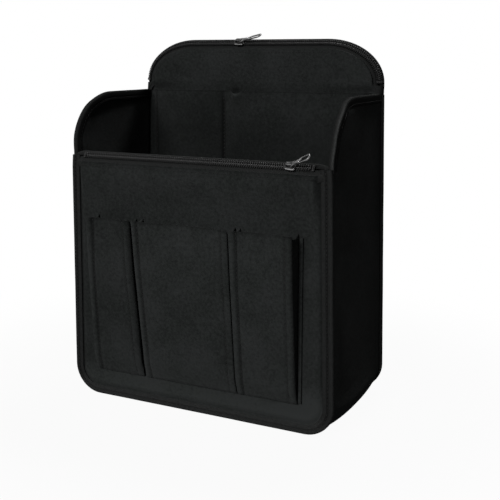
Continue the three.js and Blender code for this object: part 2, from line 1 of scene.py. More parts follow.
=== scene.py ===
# %% [markdown]
# # Backpack organizer insert in black felt
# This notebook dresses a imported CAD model. The CAD holds every size and every joint, and this file only
# adds the looks: sewn felt, folded tape, zips and plated metal. Each piece is made in real millimetres, in
# the same place as the solid it stands for, and then rides on that solid's body.

# %% Load the frame
import math

import bmesh
import bpy
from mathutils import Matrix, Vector, noise


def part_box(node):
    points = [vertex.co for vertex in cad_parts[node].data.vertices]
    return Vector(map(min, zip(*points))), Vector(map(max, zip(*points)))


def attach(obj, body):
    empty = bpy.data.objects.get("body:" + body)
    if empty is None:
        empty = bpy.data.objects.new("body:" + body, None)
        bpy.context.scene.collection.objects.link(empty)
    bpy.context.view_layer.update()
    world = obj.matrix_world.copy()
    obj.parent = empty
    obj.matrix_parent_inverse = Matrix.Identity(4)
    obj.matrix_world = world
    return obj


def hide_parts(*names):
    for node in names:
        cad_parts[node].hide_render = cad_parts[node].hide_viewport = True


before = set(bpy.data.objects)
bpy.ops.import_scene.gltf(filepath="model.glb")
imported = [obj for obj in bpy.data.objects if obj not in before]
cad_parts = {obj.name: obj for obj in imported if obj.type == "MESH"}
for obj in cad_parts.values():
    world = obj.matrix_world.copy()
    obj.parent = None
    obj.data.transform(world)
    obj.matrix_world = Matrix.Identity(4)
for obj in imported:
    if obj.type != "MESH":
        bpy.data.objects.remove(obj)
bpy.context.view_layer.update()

scene = bpy.context.scene
MM = 0.001

# %% [markdown]
# ## Camera
# A camera's place can be found by lining up known sizes with their places in the picture. Here about twenty
# corners and edges, with the marked lengths of 240, 120 and 300 mm between them, gave a view from the right
# and a little above. A long lens keeps the upright edges nearly parallel, so the view needs no shift.

# %% Camera
camera_data = bpy.data.cameras.new("view_camera")
camera_data.lens = 63.77
camera_data.sensor_width = 36
camera_data.clip_start = 0.01
camera = bpy.data.objects.new("view_camera", camera_data)
camera.location = (0.3445, -0.6398, 0.2866)
camera.rotation_euler = (math.radians(90 - 12.42), 0, math.radians(26.6))
scene.collection.objects.link(camera)
scene.camera = camera
print("camera", [round(v, 3) for v in camera.location], "lens", camera_data.lens)

# %% [markdown]
# ## Shader arithmetic
# A material's pattern is a sum over places: noise here, a thread line there. Nodes can be wired by hand,
# but a formula reads better. `Field` wraps one socket, so that `1 - mask * 0.3` adds the Math nodes by
# itself, and `Finish` is one node tree, a material's or the world's, whose `node` method adds every other
# kind of node.

# %% A socket that does arithmetic
class Field:
    def __init__(self, finish, socket):
        self.finish = finish
        self.socket = socket

    def math(self, operation, *others):
        sockets = {0: self, **{i + 1: other for i, other in enumerate(others)}}
        return self.finish.node("ShaderNodeMath", {"operation": operation}, sockets)

    def __add__(self, other):
        return self.math("ADD", other)

    def __sub__(self, other):
        return self.math("SUBTRACT", other)

    def __mul__(self, other):
        return self.math("MULTIPLY", other)

    def __pow__(self, other):
        return self.math("POWER", other)

    def __abs__(self):
        return self.math("ABSOLUTE")

    def __rsub__(self, other):
        return self.finish.node("ShaderNodeMath", {"operation": "SUBTRACT"}, {0: other, 1: self})

    __radd__ = __add__
    __rmul__ = __mul__

    def between(self, low, high):
        return self.finish.node("ShaderNodeMapRange", {"interpolation_type": "SMOOTHSTEP"},
                                {"Value": self, "From Min": low, "From Max": high})


# %% A node tree and its one way to add a node
class Finish:
    def __init__(self, owner):
        self.owner = owner
        owner.use_nodes = True
        self.tree = owner.node_tree
        self.tree.nodes.clear()

    def node(self, kind, settings=None, sockets=None, out=0):
        made = self.tree.nodes.new(kind)
        for key, value in (settings or {}).items():
            setattr(made, key, value)
        for key, value in (sockets or {}).items():
            if isinstance(value, Field):
                self.tree.links.new(value.socket, made.inputs[key])
            else:
                made.inputs[key].default_value = value
        return Field(self, made.outputs[out])

    def place(self):
        return self.node("ShaderNodeTexCoord", out="Object")

    # The point attribute that darkens seams and holds painted shade and painted light.
    def seams_and_painted_light(self):
        return self.node("ShaderNodeAttribute", {"attribute_name": "seams_and_painted_light"}, out="Fac")

    def colours(self, mask, low, high, clamp=True):
        return self.node("ShaderNodeMix", {"data_type": "RGBA", "clamp_factor": clamp},
                         {0: mask, 6: low, 7: high}, out=2)

    def noise(self, place, scale, detail=2.0, roughness=0.5, distortion=0.0):
        return self.node("ShaderNodeTexNoise", {}, {
            "Vector": place, "Scale": scale, "Detail": detail,
            "Roughness": roughness, "Distortion": distortion,
        })

    def bump(self, height, strength, distance):
        return self.node("ShaderNodeBump", {}, {
            "Height": height, "Strength": strength, "Distance": distance,
        })

    def finish(self, **sockets):
        names = {}
        for key, value in sockets.items():
            names[key.replace("_", " ").title().replace("Ior", "IOR")] = value
        self.output(self.node("ShaderNodeBsdfPrincipled", {}, names))
        return self.owner

    def output(self, shader, kind="ShaderNodeOutputMaterial"):
        self.tree.links.new(shader.socket, self.tree.nodes.new(kind).inputs["Surface"])


def grey(value):
    return (value, value, value, 1.0)


def charcoal(value, green=0.05, blue=0.0):
    """Near black with the faint green or blue that is left in the dye."""
    return (value * (1 - green), value * (1 + green * 0.6), value * (1 + blue), 1.0)


print("Field and Finish are ready")

# %% [markdown]
# ## Felt
# Needle felt is a mat of loose fibres. Close up it is a tangle of fine hairs, and from a step away it is a
# dull cloth with blotches two to four millimetres wide, where the mat is thicker. It could be painted or
# scanned, but noise of four kinds does it: broad clouds, the blotches, fine grain, and thin crooked ridges
# for single hairs. The same felt is on every panel, so the noise is read in the object's own space and
# never needs unwrapping. Where a seam presses the mat flat it shows darker, partly as flattened felt and
# partly as painted shade for the seam's groove. Each mesh carries this in a point attribute, which also
# holds painted shade in creases, at the pockets' mouths and over whole panels, and, below zero, painted
# light on folds and near the floor.

# %% Black felt
CLOUD, BLOTCH, HAIR, GRAIN, FLUFF = 30.0, 430.0, 780.0, 1150.0, 1500.0  # noise cells to a metre
felt = Finish(bpy.data.materials.new("black_felt"))
place, seams_and_painted_light = felt.place(), felt.seams_and_painted_light()
clouds = felt.noise(place, CLOUD, 2.0)
blotches = felt.noise(place, BLOTCH, 3.0, 0.6)
grains = felt.noise(place, GRAIN, 2.0, 0.7)
hair = (1 - abs(felt.noise(place, HAIR, 1.5, 0.5, 1.6) * 2 - 1)) ** 14
fluff = (1 - abs(felt.noise(place, FLUFF, 1.0, 0.5, 2.4) * 2 - 1)) ** 10
mat = blotches * 0.5 + clouds * 0.3 + grains * 0.2
hairs = hair * 0.6 + fluff * 0.4
# The attribute darkens the seams and paints shade into the felt's colour, and below zero paints light.
tone = (mat.between(0.22, 0.78) * 0.7 + hairs * 0.26) * (1 - seams_and_painted_light * 0.95) - seams_and_painted_light * 0.2
dye = felt.colours(clouds.between(0.3, 0.7), charcoal(0.0245, 0.06), charcoal(0.0245, 0.045, 0.02))
FELT = felt.finish(
    base_color=felt.colours(tone.between(-0.25, 1.0), charcoal(0.0045), dye),
    roughness=0.97 - mat * 0.08,
    specular_ior_level=0.0,
    sheen_weight=0.18,
    sheen_roughness=0.55,
    sheen_tint=grey(0.16),
    normal=felt.bump(blotches * 0.55 + grains * 0.25 + hairs * 0.3, 0.55, 0.00035),
)
print("felt:", len(felt.tree.nodes), "nodes")

# %% [markdown]
# ## Woven tape, zip tape and thread
# The bound edges are narrow woven tape. Its weft makes fine ribs across the tape, about seven to the
# half-centimetre. The pattern has to follow the tape round corners, so each tape mesh carries a `lay`
# attribute with the distance along and across it in metres.

# %% Tape, zip tape and thread
def woven(name, rib, dark, light):
    tape = Finish(bpy.data.materials.new(name))
    lay = tape.node("ShaderNodeAttribute", {"attribute_name": "lay"}, out="Vector")
    along, across = (tape.node("ShaderNodeSeparateXYZ", {}, {"Vector": lay}, out=i) for i in (0, 1))
    ribs = (along * (math.tau / rib)).math("SINE") * 0.5 + 0.5
    warp = (across * (math.tau / (rib * 0.72))).math("SINE") * 0.5 + 0.5
    fuzz = tape.noise(tape.place(), 700.0, 3.0, 0.6)
    weave = ribs * 0.55 + warp * 0.2 + fuzz * 0.4
    tone = weave.between(0.25, 1.0)
    # The attribute darkens seams and paints shade into the tape's colour, and below zero paints a
    # highlight.
    shade = tone * (1 - tape.seams_and_painted_light())
    return tape.finish(
        base_color=tape.colours(shade, charcoal(dark, 0.02), charcoal(light, 0.02), clamp=False),
        roughness=0.82 - tone * 0.1,
        specular_ior_level=0.0,
        normal=tape.bump(weave, 0.3, 0.0001),
    )


TAPE = woven("woven_binding_tape", 0.00072, 0.0045, 0.027)
ZIP_TAPE = woven("woven_zip_tape", 0.0005, 0.008, 0.026)

thread = Finish(bpy.data.materials.new("sewing_thread"))
twist = thread.noise(thread.place(), 2600.0, 2.0)
THREAD = thread.finish(
    base_color=thread.colours(twist.between(0.3, 0.7), grey(0.009), grey(0.026)),
    roughness=0.7 - twist * 0.1,
    specular_ior_level=0.03,
    normal=thread.bump(twist, 0.4, 0.0001),
)
print("tape, zip tape and thread are ready")

# %% [markdown]
# ## Nylon coil and plated metal
# The zips' teeth are a coil of black nylon, which is smoother than the cloth and shows small highlights,
# helped by a painted highlight and painted shade on each loop. The sliders and pulls are plated zinc. Their
# shine comes from a metallic shader with low roughness, and handling marks from faint stretched noise in
# the roughness and the normal. On metal, the same attribute holds painted shade: it darkens the parts that
# should look less lit. The stops are lacquered black, so they get a plain dark shader with a weak gloss.

# %% Coil and metal
coil = Finish(bpy.data.materials.new("nylon_coil"))
wax = coil.noise(coil.place(), 1200.0, 2.0)
COIL = coil.finish(
    base_color=coil.colours(wax * (1 - coil.seams_and_painted_light()), grey(0.005), grey(0.056)),
    roughness=0.4 + wax * 0.15,
    specular_ior_level=0.1,
    normal=coil.bump(wax, 0.15, 0.0001),
)

metal = Finish(bpy.data.materials.new("plated_metal"))
spot = metal.place()
streak = metal.node("ShaderNodeMapping", {}, {"Vector": spot, "Scale": (1.0, 7.0, 7.0)})
marks = metal.noise(streak, 420.0, 4.0, 0.65)
smears = metal.noise(spot, 190.0, 2.0)
# Handling marks vary the metal's colour, and the attribute paints shade over whole parts.
bright = (marks.between(0.35, 0.65) * 0.7 + 0.3) * (1 - metal.seams_and_painted_light())
METAL = metal.finish(
    base_color=metal.colours(bright, grey(0.008), grey(0.22)),
    metallic=1.0,
    roughness=0.2 + marks * 0.14 + smears * 0.08,
    normal=metal.bump(marks, 0.12, 0.00008),
)

lacquer = Finish(bpy.data.materials.new("black_lacquer"))
scuffs = lacquer.noise(lacquer.place(), 900.0, 3.0)
LACQUER = lacquer.finish(
    base_color=lacquer.colours(scuffs.between(0.4, 0.7), grey(0.005), grey(0.024)),
    roughness=0.34 + scuffs * 0.16,
    specular_ior_level=0.12,
)
print("coil, metal and lacquer are ready")

# %% [markdown]
# ## The sizes that the layers share
# The insert is a low front wall and a tall back wall, each of two felts, with a strip of felt round the
# sides and the bottom between them. These are the same millimetres as in the CAD, from front to back.

# %% Sizes, in millimetres
FELT_THICK, TAPE_THICK, ZIP_TAPE_THICK, GAP = 2.0, 0.8, 0.6, 0.3
FRONT_EDGE, FRONT_FELT, FRONT_INNER, GUSSET_FRONT = -52.05, -50.95, -48.65, -46.35
POCKET_FELT, GUSSET_BACK, BACK_INNER, BACK_FELT, BACK_EDGE = 60.25, 62.25, 62.55, 64.85, 67.95
WALL_FACE = FRONT_FELT - GAP
FRONT_RIDGE, BACK_RIDGE = FRONT_INNER + 1, BACK_FELT + 1
FRONT_TOP, SIDE_TOP, BACK_TOP = 210.0, 256.0, 300.0
HALF_WIDTH, CORNER, LEAN = 120.0, 24.0, 6.0 / 232.0
FELT_INSET, ROW_STEP = 1.1, 5.0
QUARTER = math.pi / 2
AXIS_X, AXIS_Y, AXIS_Z = Vector((1, 0, 0)), Vector((0, 1, 0)), Vector((0, 0, 1))


def side_at(z):
    """Half width of the walls' outline at a height above the round lower corners."""
    return HALF_WIDTH - LEAN * (z - CORNER)


def wall_half(z, inset):
    """Half width of a wall at a height, that far inside its bound edge."""
    if z >= CORNER:
        return side_at(z) - inset
    radius = CORNER - inset
    return HALF_WIDTH - CORNER + math.sqrt(max(radius * radius - (CORNER - z) ** 2, 0.0))


def smooth(t):
    t = min(max(t, 0.0), 1.0)
    return t * t * (3 - 2 * t)


def peak(distance, middle, width):
    return math.exp(-((distance - middle) / width) ** 2)


def above_sides(z):
    """Nothing at the side panels' tops and one from 8 mm up, where the zip takes over from the tape."""
    return smooth((z - SIDE_TOP) / 8)


def evenly(steps, low=0.0, high=1.0):
    return [low + (high - low) * i / steps for i in range(steps + 1)]


print("width at the foot", 2 * HALF_WIDTH, "and at the sides' top", round(2 * side_at(SIDE_TOP), 1))

# %% [markdown]
# ## How the felt is made
# A felt panel is a sheet two millimetres thick with a soft cut edge. It could be a plane with a Solidify
# modifier, but that gives a hard square edge, so `felt_sheet` joins two grids of points with a rounded rim.
# Real felt is never flat: `drift` is a slow noise that bends a panel by half a millimetre or so, and it
# fades out towards the seams, where the next layer holds it.

# %% Mesh helpers
RIM = 0.4


def piece(name, points, faces, finish, nodes=(), body="organizer", sharp=62.0,
          lay=None, seams_and_painted_light=None):
    """A mesh in millimetres that rides on a body and stands for CAD nodes."""
    mesh = bpy.data.meshes.new(name)
    mesh.from_pydata([Vector(p) * MM for p in points], [], faces)
    if lay:
        attribute = mesh.attributes.new("lay", "FLOAT_VECTOR", "POINT")
        attribute.data.foreach_set("vector", [v * MM for pair in lay for v in (*pair, 0.0)])
    # The attribute with seam darkening and painted shade and light, read by the finishes.
    if seams_and_painted_light:
        mesh.attributes.new("seams_and_painted_light", "FLOAT", "POINT").data.foreach_set("value", seams_and_painted_light)
    shell = bmesh.new()
    shell.from_mesh(mesh)
    bmesh.ops.recalc_face_normals(shell, faces=shell.faces)
    shell.to_mesh(mesh)
    shell.free()
    mesh.shade_smooth()
    mesh.set_sharp_from_angle(angle=math.radians(sharp))
    mesh.materials.append(finish)
    made = bpy.data.objects.new(name, mesh)
    scene.collection.objects.link(made)
    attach(made, body)
    if nodes:
        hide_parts(*nodes)


def felt_sheet(front, back):
    """Points and faces of a closed sheet between two grids, with a rounded rim."""
    rows, columns = len(front), len(front[0])

    def at(side, r, c):
        return (side * rows + r) * columns + c

    def drawn_in(grid, r, c):
        """A point of a grid, or one of its rim drawn in a little."""
        near = grid[min(max(r, 1), rows - 2)][min(max(c, 1), columns - 2)]
        step = near - grid[r][c]
        if step.length <= 1e-6:
            return grid[r][c]
        return grid[r][c] + step.normalized() * min(RIM, step.length / 3)

    cells = [(r, c) for r in range(rows) for c in range(columns)]
    points = [drawn_in(grid, r, c) for grid in (front, back) for r, c in cells]
    faces = []
    for r in range(rows - 1):
        for c in range(columns - 1):
            faces.append((at(0, r, c), at(0, r, c + 1), at(0, r + 1, c + 1), at(0, r + 1, c)))
            faces.append((at(1, r, c), at(1, r + 1, c), at(1, r + 1, c + 1), at(1, r, c + 1)))
    loop = [(0, c) for c in range(columns)] + [(r, columns - 1) for r in range(1, rows)]
    loop += [(rows - 1, c) for c in range(columns - 2, -1, -1)] + [(r, 0) for r in range(rows - 2, 0, -1)]
    rings = [[at(0, r, c) for r, c in loop]]
    for share in (0.24, 0.76):
        start = len(points)
        points += [front[r][c].lerp(back[r][c], share) for r, c in loop]
        rings.append([start + i for i in range(len(loop))])
    rings.append([at(1, r, c) for r, c in loop])
    for near, far in zip(rings, rings[1:]):
        for i in range(len(loop)):
            j = (i + 1) % len(loop)
            faces.append((near[i], near[j], far[j], far[i]))
    return points, faces


def drift(a, b, size, seed):
    return noise.noise(Vector((a / size, b / size, seed)))


def felt_panel(name, front, back, nodes, seams_and_light=None):
    points, faces = felt_sheet(front, back)
    # A function gives each point its seam darkening and painted shade, or painted light below zero.
    seams_and_painted_light = [min(max(seams_and_light(p), -1.0), 1.0) for p in points] if seams_and_light else None
    piece(name, points, faces, FELT, nodes, seams_and_painted_light=seams_and_painted_light)
    print(f"{name}: {len(faces)} faces")


def deeper(grid, thickness=FELT_THICK, way=AXIS_Y):
    """The same grid on the sheet's other face."""
    return [[p + way * thickness for p in row] for row in grid]


print("felt helpers are ready")

# %% [markdown]
# ## How tapes and threads are made
# A tape is one section carried along a row of stations. A station is a point on the edge, the way in from
# the edge, and the way through the wall. Folds need rounded sections, so `strip` gives a centre line its
# thickness and round ends. A row of stitches is made of single threads that dip into the cloth at both
# ends, which reads as sewing even when it is small.

# %% Tape helpers
def way_at(path, i):
    """The way that a path runs at its point i."""
    return (path[min(i + 1, len(path) - 1)] - path[max(i - 1, 0)]).normalized()


def distances(path):
    """How far each point lies from the first one, along the path."""
    runs = [0.0]
    for a, b in zip(path, path[1:]):
        runs.append(runs[-1] + (b - a).length)
    return runs


def tube_faces(rings, sides):
    """Faces of a closed tube, from the number of its rings and of the points in each."""
    faces = []
    for start in range(0, (rings - 1) * sides, sides):
        for i in range(sides):
            j = (i + 1) % sides
            faces.append((start + i, start + j, start + sides + j, start + sides + i))
    last = (rings - 1) * sides
    return faces + [tuple(range(sides - 1, -1, -1)), tuple(range(last, last + sides))]


def rounded(path, radius, steps=3):
    """The same path with its inner corners rounded."""
    bends = [Vector(path[0])]
    for a, b, c in zip(path, path[1:], path[2:]):
        a, b, c = Vector(a), Vector(b), Vector(c)
        reach = min(radius, (a - b).length * 0.45, (c - b).length * 0.45)
        start, end = b + (a - b).normalized() * reach, b + (c - b).normalized() * reach
        bends += [start.lerp(b, t).lerp(b.lerp(end, t), t) for t in evenly(steps)]
    return bends + [Vector(path[-1])]


def strip(path, thickness):
    """A closed section round an open path of 2-D points."""
    half = thickness / 2
    ways = [way_at(path, i) for i in range(len(path))]
    across = [Vector((-way.y, way.x)) * half for way in ways]
    left = [p + n for p, n in zip(path, across)]
    right = [p - n for p, n in zip(path, across)]
    return left + [path[-1] + ways[-1] * half * 0.7] + right[::-1] + [path[0] - ways[0] * half * 0.7]


def sweep(stations, section):
    """Points, faces and lay of a section carried along stations (origin, inward, through)."""
    points = [origin + inward * a + through * b for origin, inward, through in stations for a, b in section]
    runs, around = distances([station[0] for station in stations]), distances(section)
    lay = [(run, across) for run in runs for across in around]
    return points, tube_faces(len(stations), len(section)), lay


def resample(stations, spacing):
    """Stations at even distances along the same line."""
    runs = distances([station[0] for station in stations])
    steps = max(round(runs[-1] / spacing), 1)
    made, k = [], 0
    for run in evenly(steps, 0.0, runs[-1]):
        while k < len(runs) - 2 and runs[k + 1] < run:
            k += 1
        share = (run - runs[k]) / max(runs[k + 1] - runs[k], 1e-9)
        origin, inward, through = (p.lerp(q, share) for p, q in zip(stations[k], stations[k + 1]))
        made.append((origin, inward.normalized(), through.normalized()))
    return made


def tape_piece(name, stations, section, seams_and_light, nodes=(), finish=TAPE):
    """A swept tape: its function gives a point's seams and painted shade, or painted light below zero, from
    its place in the section and its height.
    """
    points, faces, lay = sweep(stations, section)
    seams_and_painted_light = [seams_and_light(a, b, origin.z) for origin, _, _ in stations for a, b in section]
    piece(name, points, faces, finish, nodes, lay=lay, seams_and_painted_light=seams_and_painted_light)


print("tape helpers are ready")

# %% Thread helpers
TUBE_SIDES = 6
# Places along one stitch from end to end, and the share of the thread's radius there
STITCH = ((-1, 0.35), (-0.72, 0.85), (0, 1.0), (0.72, 0.85), (1, 0.35))


def tube(path, radii, sides=TUBE_SIDES):
    """Points and faces of a closed tube along points, with a radius at each."""
    points = []
    for i, (point, radius) in enumerate(zip(path, radii)):
        way = way_at(path, i)
        first = way.orthogonal().normalized() if i == 0 else (first - way * first.dot(way)).normalized()
        second = way.cross(first)
        for k in range(sides):
            angle = math.tau * k / sides
            points.append(point + (first * math.cos(angle) + second * math.sin(angle)) * radius)
    return points, tube_faces(len(path), sides)


def gathered(parts):
    """One list of points and faces from many."""
    points, faces = [], []
    for some_points, some_faces in parts:
        start = len(points)
        points += some_points
        faces += [tuple(start + i for i in face) for face in some_faces]
    return points, faces


def stitch_row(line, pitch=3.4, length=2.7, radius=0.26):
    """Stitches along a line of (point, up) pairs, where up points out of the cloth."""
    spots = resample([(point, up, up) for point, up in line], pitch)
    path = [point for point, _, _ in spots]
    arch = [(t * length / 2, radius * (0.75 - 1.5 * t * t)) for t, _ in STITCH]
    radii = [radius * share for _, share in STITCH]
    stitches = []
    for i, (point, up, _) in enumerate(spots):
        way = way_at(path, i)
        stitches.append(tube([point + way * along + up * rise for along, rise in arch], radii))
    return gathered(stitches)


def sewn(name, rows, threads=()):
    """All the stitch rows of one piece of work, and long threads beside them, as one mesh."""
    points, faces = gathered([*threads, *rows])
    piece(name, points, faces, THREAD)
    stitches = sum(len(row[0]) for row in rows) // (len(STITCH) * TUBE_SIDES)
    print(f"{name}: {stitches} stitches")


print("thread helpers are ready")

# %% [markdown]
# ## Front wall
# The front wall is two felts. The outer one carries the pockets and ends under the zip, where it stands
# forward so that the zip's tape can slope back over it. The inner one is plain. Both bend together, because
# they are sewn to each other all round, so both add the same slow wave.

# %% How the front wall bends
OUTER_FELT_TOP, INNER_FELT_TOP = 202.0, 205.0
SEAM_IN, GROOVE_IN, ROLL_IN = 9.1, 9.2, 12.6
ZIP_HALF, ZIP_PUFF, PUFF_EDGE = 102.0, 4.39, 5.5


def near_seam(distance, reach=16.0):
    """Nothing at a seam, which holds the felt flat, and one from that far away."""
    return smooth(distance / reach)


def rounded_inset(a, b, radius):
    """The smaller of the distances from two edges, with the corner between them rounded."""
    if a < radius and b < radius:
        return radius - math.hypot(radius - a, radius - b)
    return min(a, b)


def edge_roll(inset, height):
    """The felt swells beside the seam along a wall's edge, and dips in the seam."""
    return height * peak(inset, ROLL_IN, 2.5) - 0.3 * peak(inset, GROOVE_IN, 0.9)


def front_inset(x, z):
    """How far inside the front wall's sewn outline a place lies."""
    side = side_at(max(z, CORNER)) - abs(x)
    return min(rounded_inset(side, z, CORNER), rounded_inset(side, FRONT_TOP - 2 - z, 15.0))


def front_wave(x, z):
    held = near_seam(wall_half(z, 9.0) - abs(x)) * near_seam(z - 9) * near_seam(OUTER_FELT_TOP - 1 - z)
    return held * (0.55 * drift(x, z, 64, 1.7) + 0.22 * drift(x, z, 23, 4.1) + 0.25)


def front_puff(x, z):
    """How far the outer felt stands forward to clear the zip."""
    return ZIP_PUFF * smooth((ZIP_HALF + PUFF_EDGE - abs(x)) / PUFF_EDGE) * smooth((z - 167) / 27)


def under_zip(x, z):
    """One along the zip, where the felt lies flatter, and nothing at the sides."""
    return smooth((z - 180) / 12) * smooth((104 - abs(x)) / 10)


def front_depth(x, z):
    roll = edge_roll(front_inset(x, z), 0.75) * (1 - under_zip(x, z))
    return FRONT_FELT - front_puff(x, z) + front_wave(x, z) - roll


def front_seams_and_painted_light(p):
    """Painted shade in the edge's seam and at the top under the zip, and painted light at the foot, more so
    towards the right.
    """
    seam = 0.5 * peak(front_inset(p.x, p.z), SEAM_IN, 0.95) * (1 - 0.75 * under_zip(p.x, p.z))
    foot = 0.68 * smooth((32 - p.z) / 14)
    right_foot = 0.5 * smooth((p.x - 55) / 45) * smooth((46 - p.z) / 20)
    return seam + 0.35 * smooth((p.z - OUTER_FELT_TOP + 2.5) / 2.0) - foot - right_foot


print("the outer felt stands", front_puff(0, OUTER_FELT_TOP), "mm forward under the zip")

# %% Front felts
def seam_rows(top):
    """Heights across a wall, close together at the foot's seam and below the top."""
    low = [1.1, 1.5, 2.4, 3.8, 5.6] + evenly(11, 7.2, 15.4) + [17, 19, 21.5, CORNER]
    return low + evenly(42, CORNER, top - 14)[1:] + evenly(16, top - 14, top)[1:]


def seam_columns(half):
    """Places across a wall, close together near both edges, where the seams are."""
    edge = [-half + d for d in [0, 2.0, 4.4, 6.2] + evenly(14, 7.3, 17.5) + [20.5, 24]]
    return edge + evenly(40, edge[-1], -edge[-1])[1:-1] + [-x for x in edge[::-1]]


def even_columns(count):
    return lambda half: evenly(count, -half, half)


def wall_rows(top):
    foot = [CORNER - (CORNER - FELT_INSET) * math.cos(t * QUARTER) for t in evenly(9)]
    return foot + evenly(round((top - CORNER) / ROW_STEP), CORNER, top)[1:]


def bound_rows(heights):
    """Rows (height, half width) of a felt whose edge lies in the bound edge."""
    return [(z, wall_half(z, FELT_INSET)) for z in heights]


def wall_grid(rows, depth, columns):
    """Points on a wall: columns gives the places across from a row's half width."""
    return [[Vector((x, depth(x, z), z)) for x in columns(half)] for z, half in rows]


outer = wall_grid(bound_rows(seam_rows(OUTER_FELT_TOP)), front_depth, seam_columns)
felt_panel("front_felt_outer", outer, deeper(outer), ["front_outer_panel"], front_seams_and_painted_light)
inner = wall_grid(bound_rows(wall_rows(INNER_FELT_TOP)), lambda x, z: FRONT_INNER + front_wave(x, z),
                  even_columns(48))
felt_panel("front_felt_inner", inner, deeper(inner), ["front_inner_panel"])

# %% [markdown]
# ## Bellows pockets
# Each pocket is one strip of felt, folded at both sides so that its mouth stands 17 mm off the wall and its
# foot 5 mm. A row of stitches six millimetres in from each fold pinches it to a crisp edge, and the side
# walls sag a little at the mouth. The right pocket's cut edge shows as a narrow hem beside it. A box would
# miss all of this, so the pocket is drawn as one section that changes with height: up the side wall, round
# the pinched edge, over the soft face, and back.

# %% One pocket
POCKET_FOOT, POCKET_TOP = 24.0, 158.0
PINCH, FOOT_RISE, HEM_THICK = 6.0, 3.2, 1.3


class Pocket:
    """One pocket. Its edges, the widths of its folds and its edges' slants are (left, right) pairs."""

    def __init__(self, name, node, edges, folds, slants, seed):
        self.name, self.node, self.seed = name, node, seed
        self.edges, self.folds, self.slants = edges, folds, slants

    def up(self, z):
        return (z - POCKET_FOOT) / (POCKET_TOP - POCKET_FOOT)

    def edge(self, side, z):
        return self.edges[side] + self.slants[side] * (1 - self.up(z))

    def seam(self, side, z):
        return self.edge(side, z) + (PINCH if side == 0 else -PINCH)

    def depth(self, x, z):
        """How far the face stands off the wall. The mouth leans back between the folds."""
        up, left, right = self.up(z), self.edge(0, z), self.edge(1, z)
        across = math.sin(math.pi * min(max((x - left) / (right - left), 0), 1))
        stand = 2.8 + 2.2 * smooth(up / 0.12) + 12.0 * up
        swell = across ** 0.6 * (0.5 + 0.5 * drift(x, z, 34, self.seed))
        swell *= math.sin(math.pi * min(up * 0.92 + 0.1, 1))
        fold = 0.45 * peak(x, left + 3.0, 1.6) + 0.25 * peak(x, right - 3.0, 1.6)
        groove = 0.9 * peak(x, self.seam(0, z), 1.15) + 0.4 * peak(x, self.seam(1, z), 1.0)
        sewn_foot = 0.4 * peak(z, POCKET_FOOT + 5, 1.2)
        lean = 4.5 * across ** 0.8 * smooth((z - 112) / 46)
        return stand + swell + fold - groove - sewn_foot - lean

    def section(self, z, t):
        """Points across the pocket at height z, on its skin that lies t inside the outer one."""
        rise = min(max((z - POCKET_FOOT) / FOOT_RISE, 0), 1)
        foot = 0.12 + 0.88 * math.sqrt(1 - (1 - rise) ** 2)
        sides = []
        for side, way in ((0, 1), (1, -1)):
            edge, fold = self.edge(side, z), self.folds[side]
            depth = (self.depth(edge + way * (fold + 0.6), z) - t) * foot
            lip = min(fold * 1.15, depth * 0.5)
            bow = 0.7 * math.sin(math.pi * min(self.up(z) * 1.1, 1))
            bow *= 1 + drift(edge, z, 40, self.seed + 3)
            wall = [(edge + way * (0.9 + t + bow * math.sin(math.pi * v)), -(depth - lip - 0.7) * v)
                    for v in evenly(6)]
            turn = [(edge + way * (t * 0.7 + fold * (1 - math.cos(a))), -(depth - lip * (1 - math.sin(a))))
                    for a in evenly(4, 0.15, QUARTER)]
            sides.append(wall + turn)
        low = self.edge(0, z) + self.folds[0] + 0.9 + t * 0.5
        high = self.edge(1, z) - self.folds[1] - 0.9 - t * 0.5
        steps = round(self.edges[1] - self.edges[0] - 6)
        face = [(x, -(self.depth(x, z) - t) * foot) for x in evenly(steps, low, high)]
        outline = sides[0] + face + sides[1][::-1]
        return [Vector((x, WALL_FACE + y + front_wave(x, z) * smooth(1 + y / 6), z)) for x, y in outline]

    def seams_and_painted_light(self, p):
        """Dark in the seams, with painted shade at the mouth, painted light beside the left fold and near
        the foot, and a little lighter on the centre and right pockets.
        """
        seams = 0.8 * peak(p.x, self.seam(0, p.z), 0.95) + 0.4 * peak(p.x, self.seam(1, p.z), 0.9)
        mouth = 0.4 * smooth((p.z - POCKET_TOP + 1.4) / 1.0)
        painted_fold_and_foot_light = 0.3 * peak(p.x, self.edge(0, p.z) + 2.2, 1.8) + 0.3 * smooth((62 - p.z) / 40)
        lighter_to_the_right = 0.12 * smooth((p.x + 52) / 12)
        return seams + mouth - painted_fold_and_foot_light - lighter_to_the_right

    def on_face(self, x, z):
        return Vector((x, WALL_FACE - self.depth(x, z), z)), -AXIS_Y

    def skins(self):
        """The outer and the inner skin, whose side walls sag at the mouth."""
        heights = [POCKET_FOOT + FOOT_RISE * (1 - math.cos(t * QUARTER)) for t in evenly(6, 0.08)]
        heights += evenly(44, POCKET_FOOT + FOOT_RISE, POCKET_TOP)[1:]
        skins = []
        for t in (0.0, FELT_THICK):
            skin = [self.section(z, t) for z in heights]
            for row in skin:
                for k, p in enumerate(row):
                    in_wall = max(0.0, 1 - min(k, len(row) - 1 - k) / 8.0)
                    sag = 3.4 * math.sin(math.pi * in_wall) * smooth((p.z - 132) / 26)
                    p.z += t * 0.9 * smooth((POCKET_FOOT + 6 - p.z) / 6) - sag
            skins.append(skin)
        return skins

    def make(self):
        outer_skin, inner_skin = self.skins()
        felt_panel(self.name, outer_skin, inner_skin, [self.node], self.seams_and_painted_light)
        low, high = POCKET_FOOT + 5, POCKET_TOP - 2
        lines = [[self.on_face(self.seam(side, z), z) for z in evenly(44, low, high)] for side in (0, 1)]
        across = evenly(20, self.edge(0, low) + 4, self.edge(1, low) - 4)
        lines.append([self.on_face(x, low) for x in across])
        sewn(self.name + "_stitches", [stitch_row(line) for line in lines])


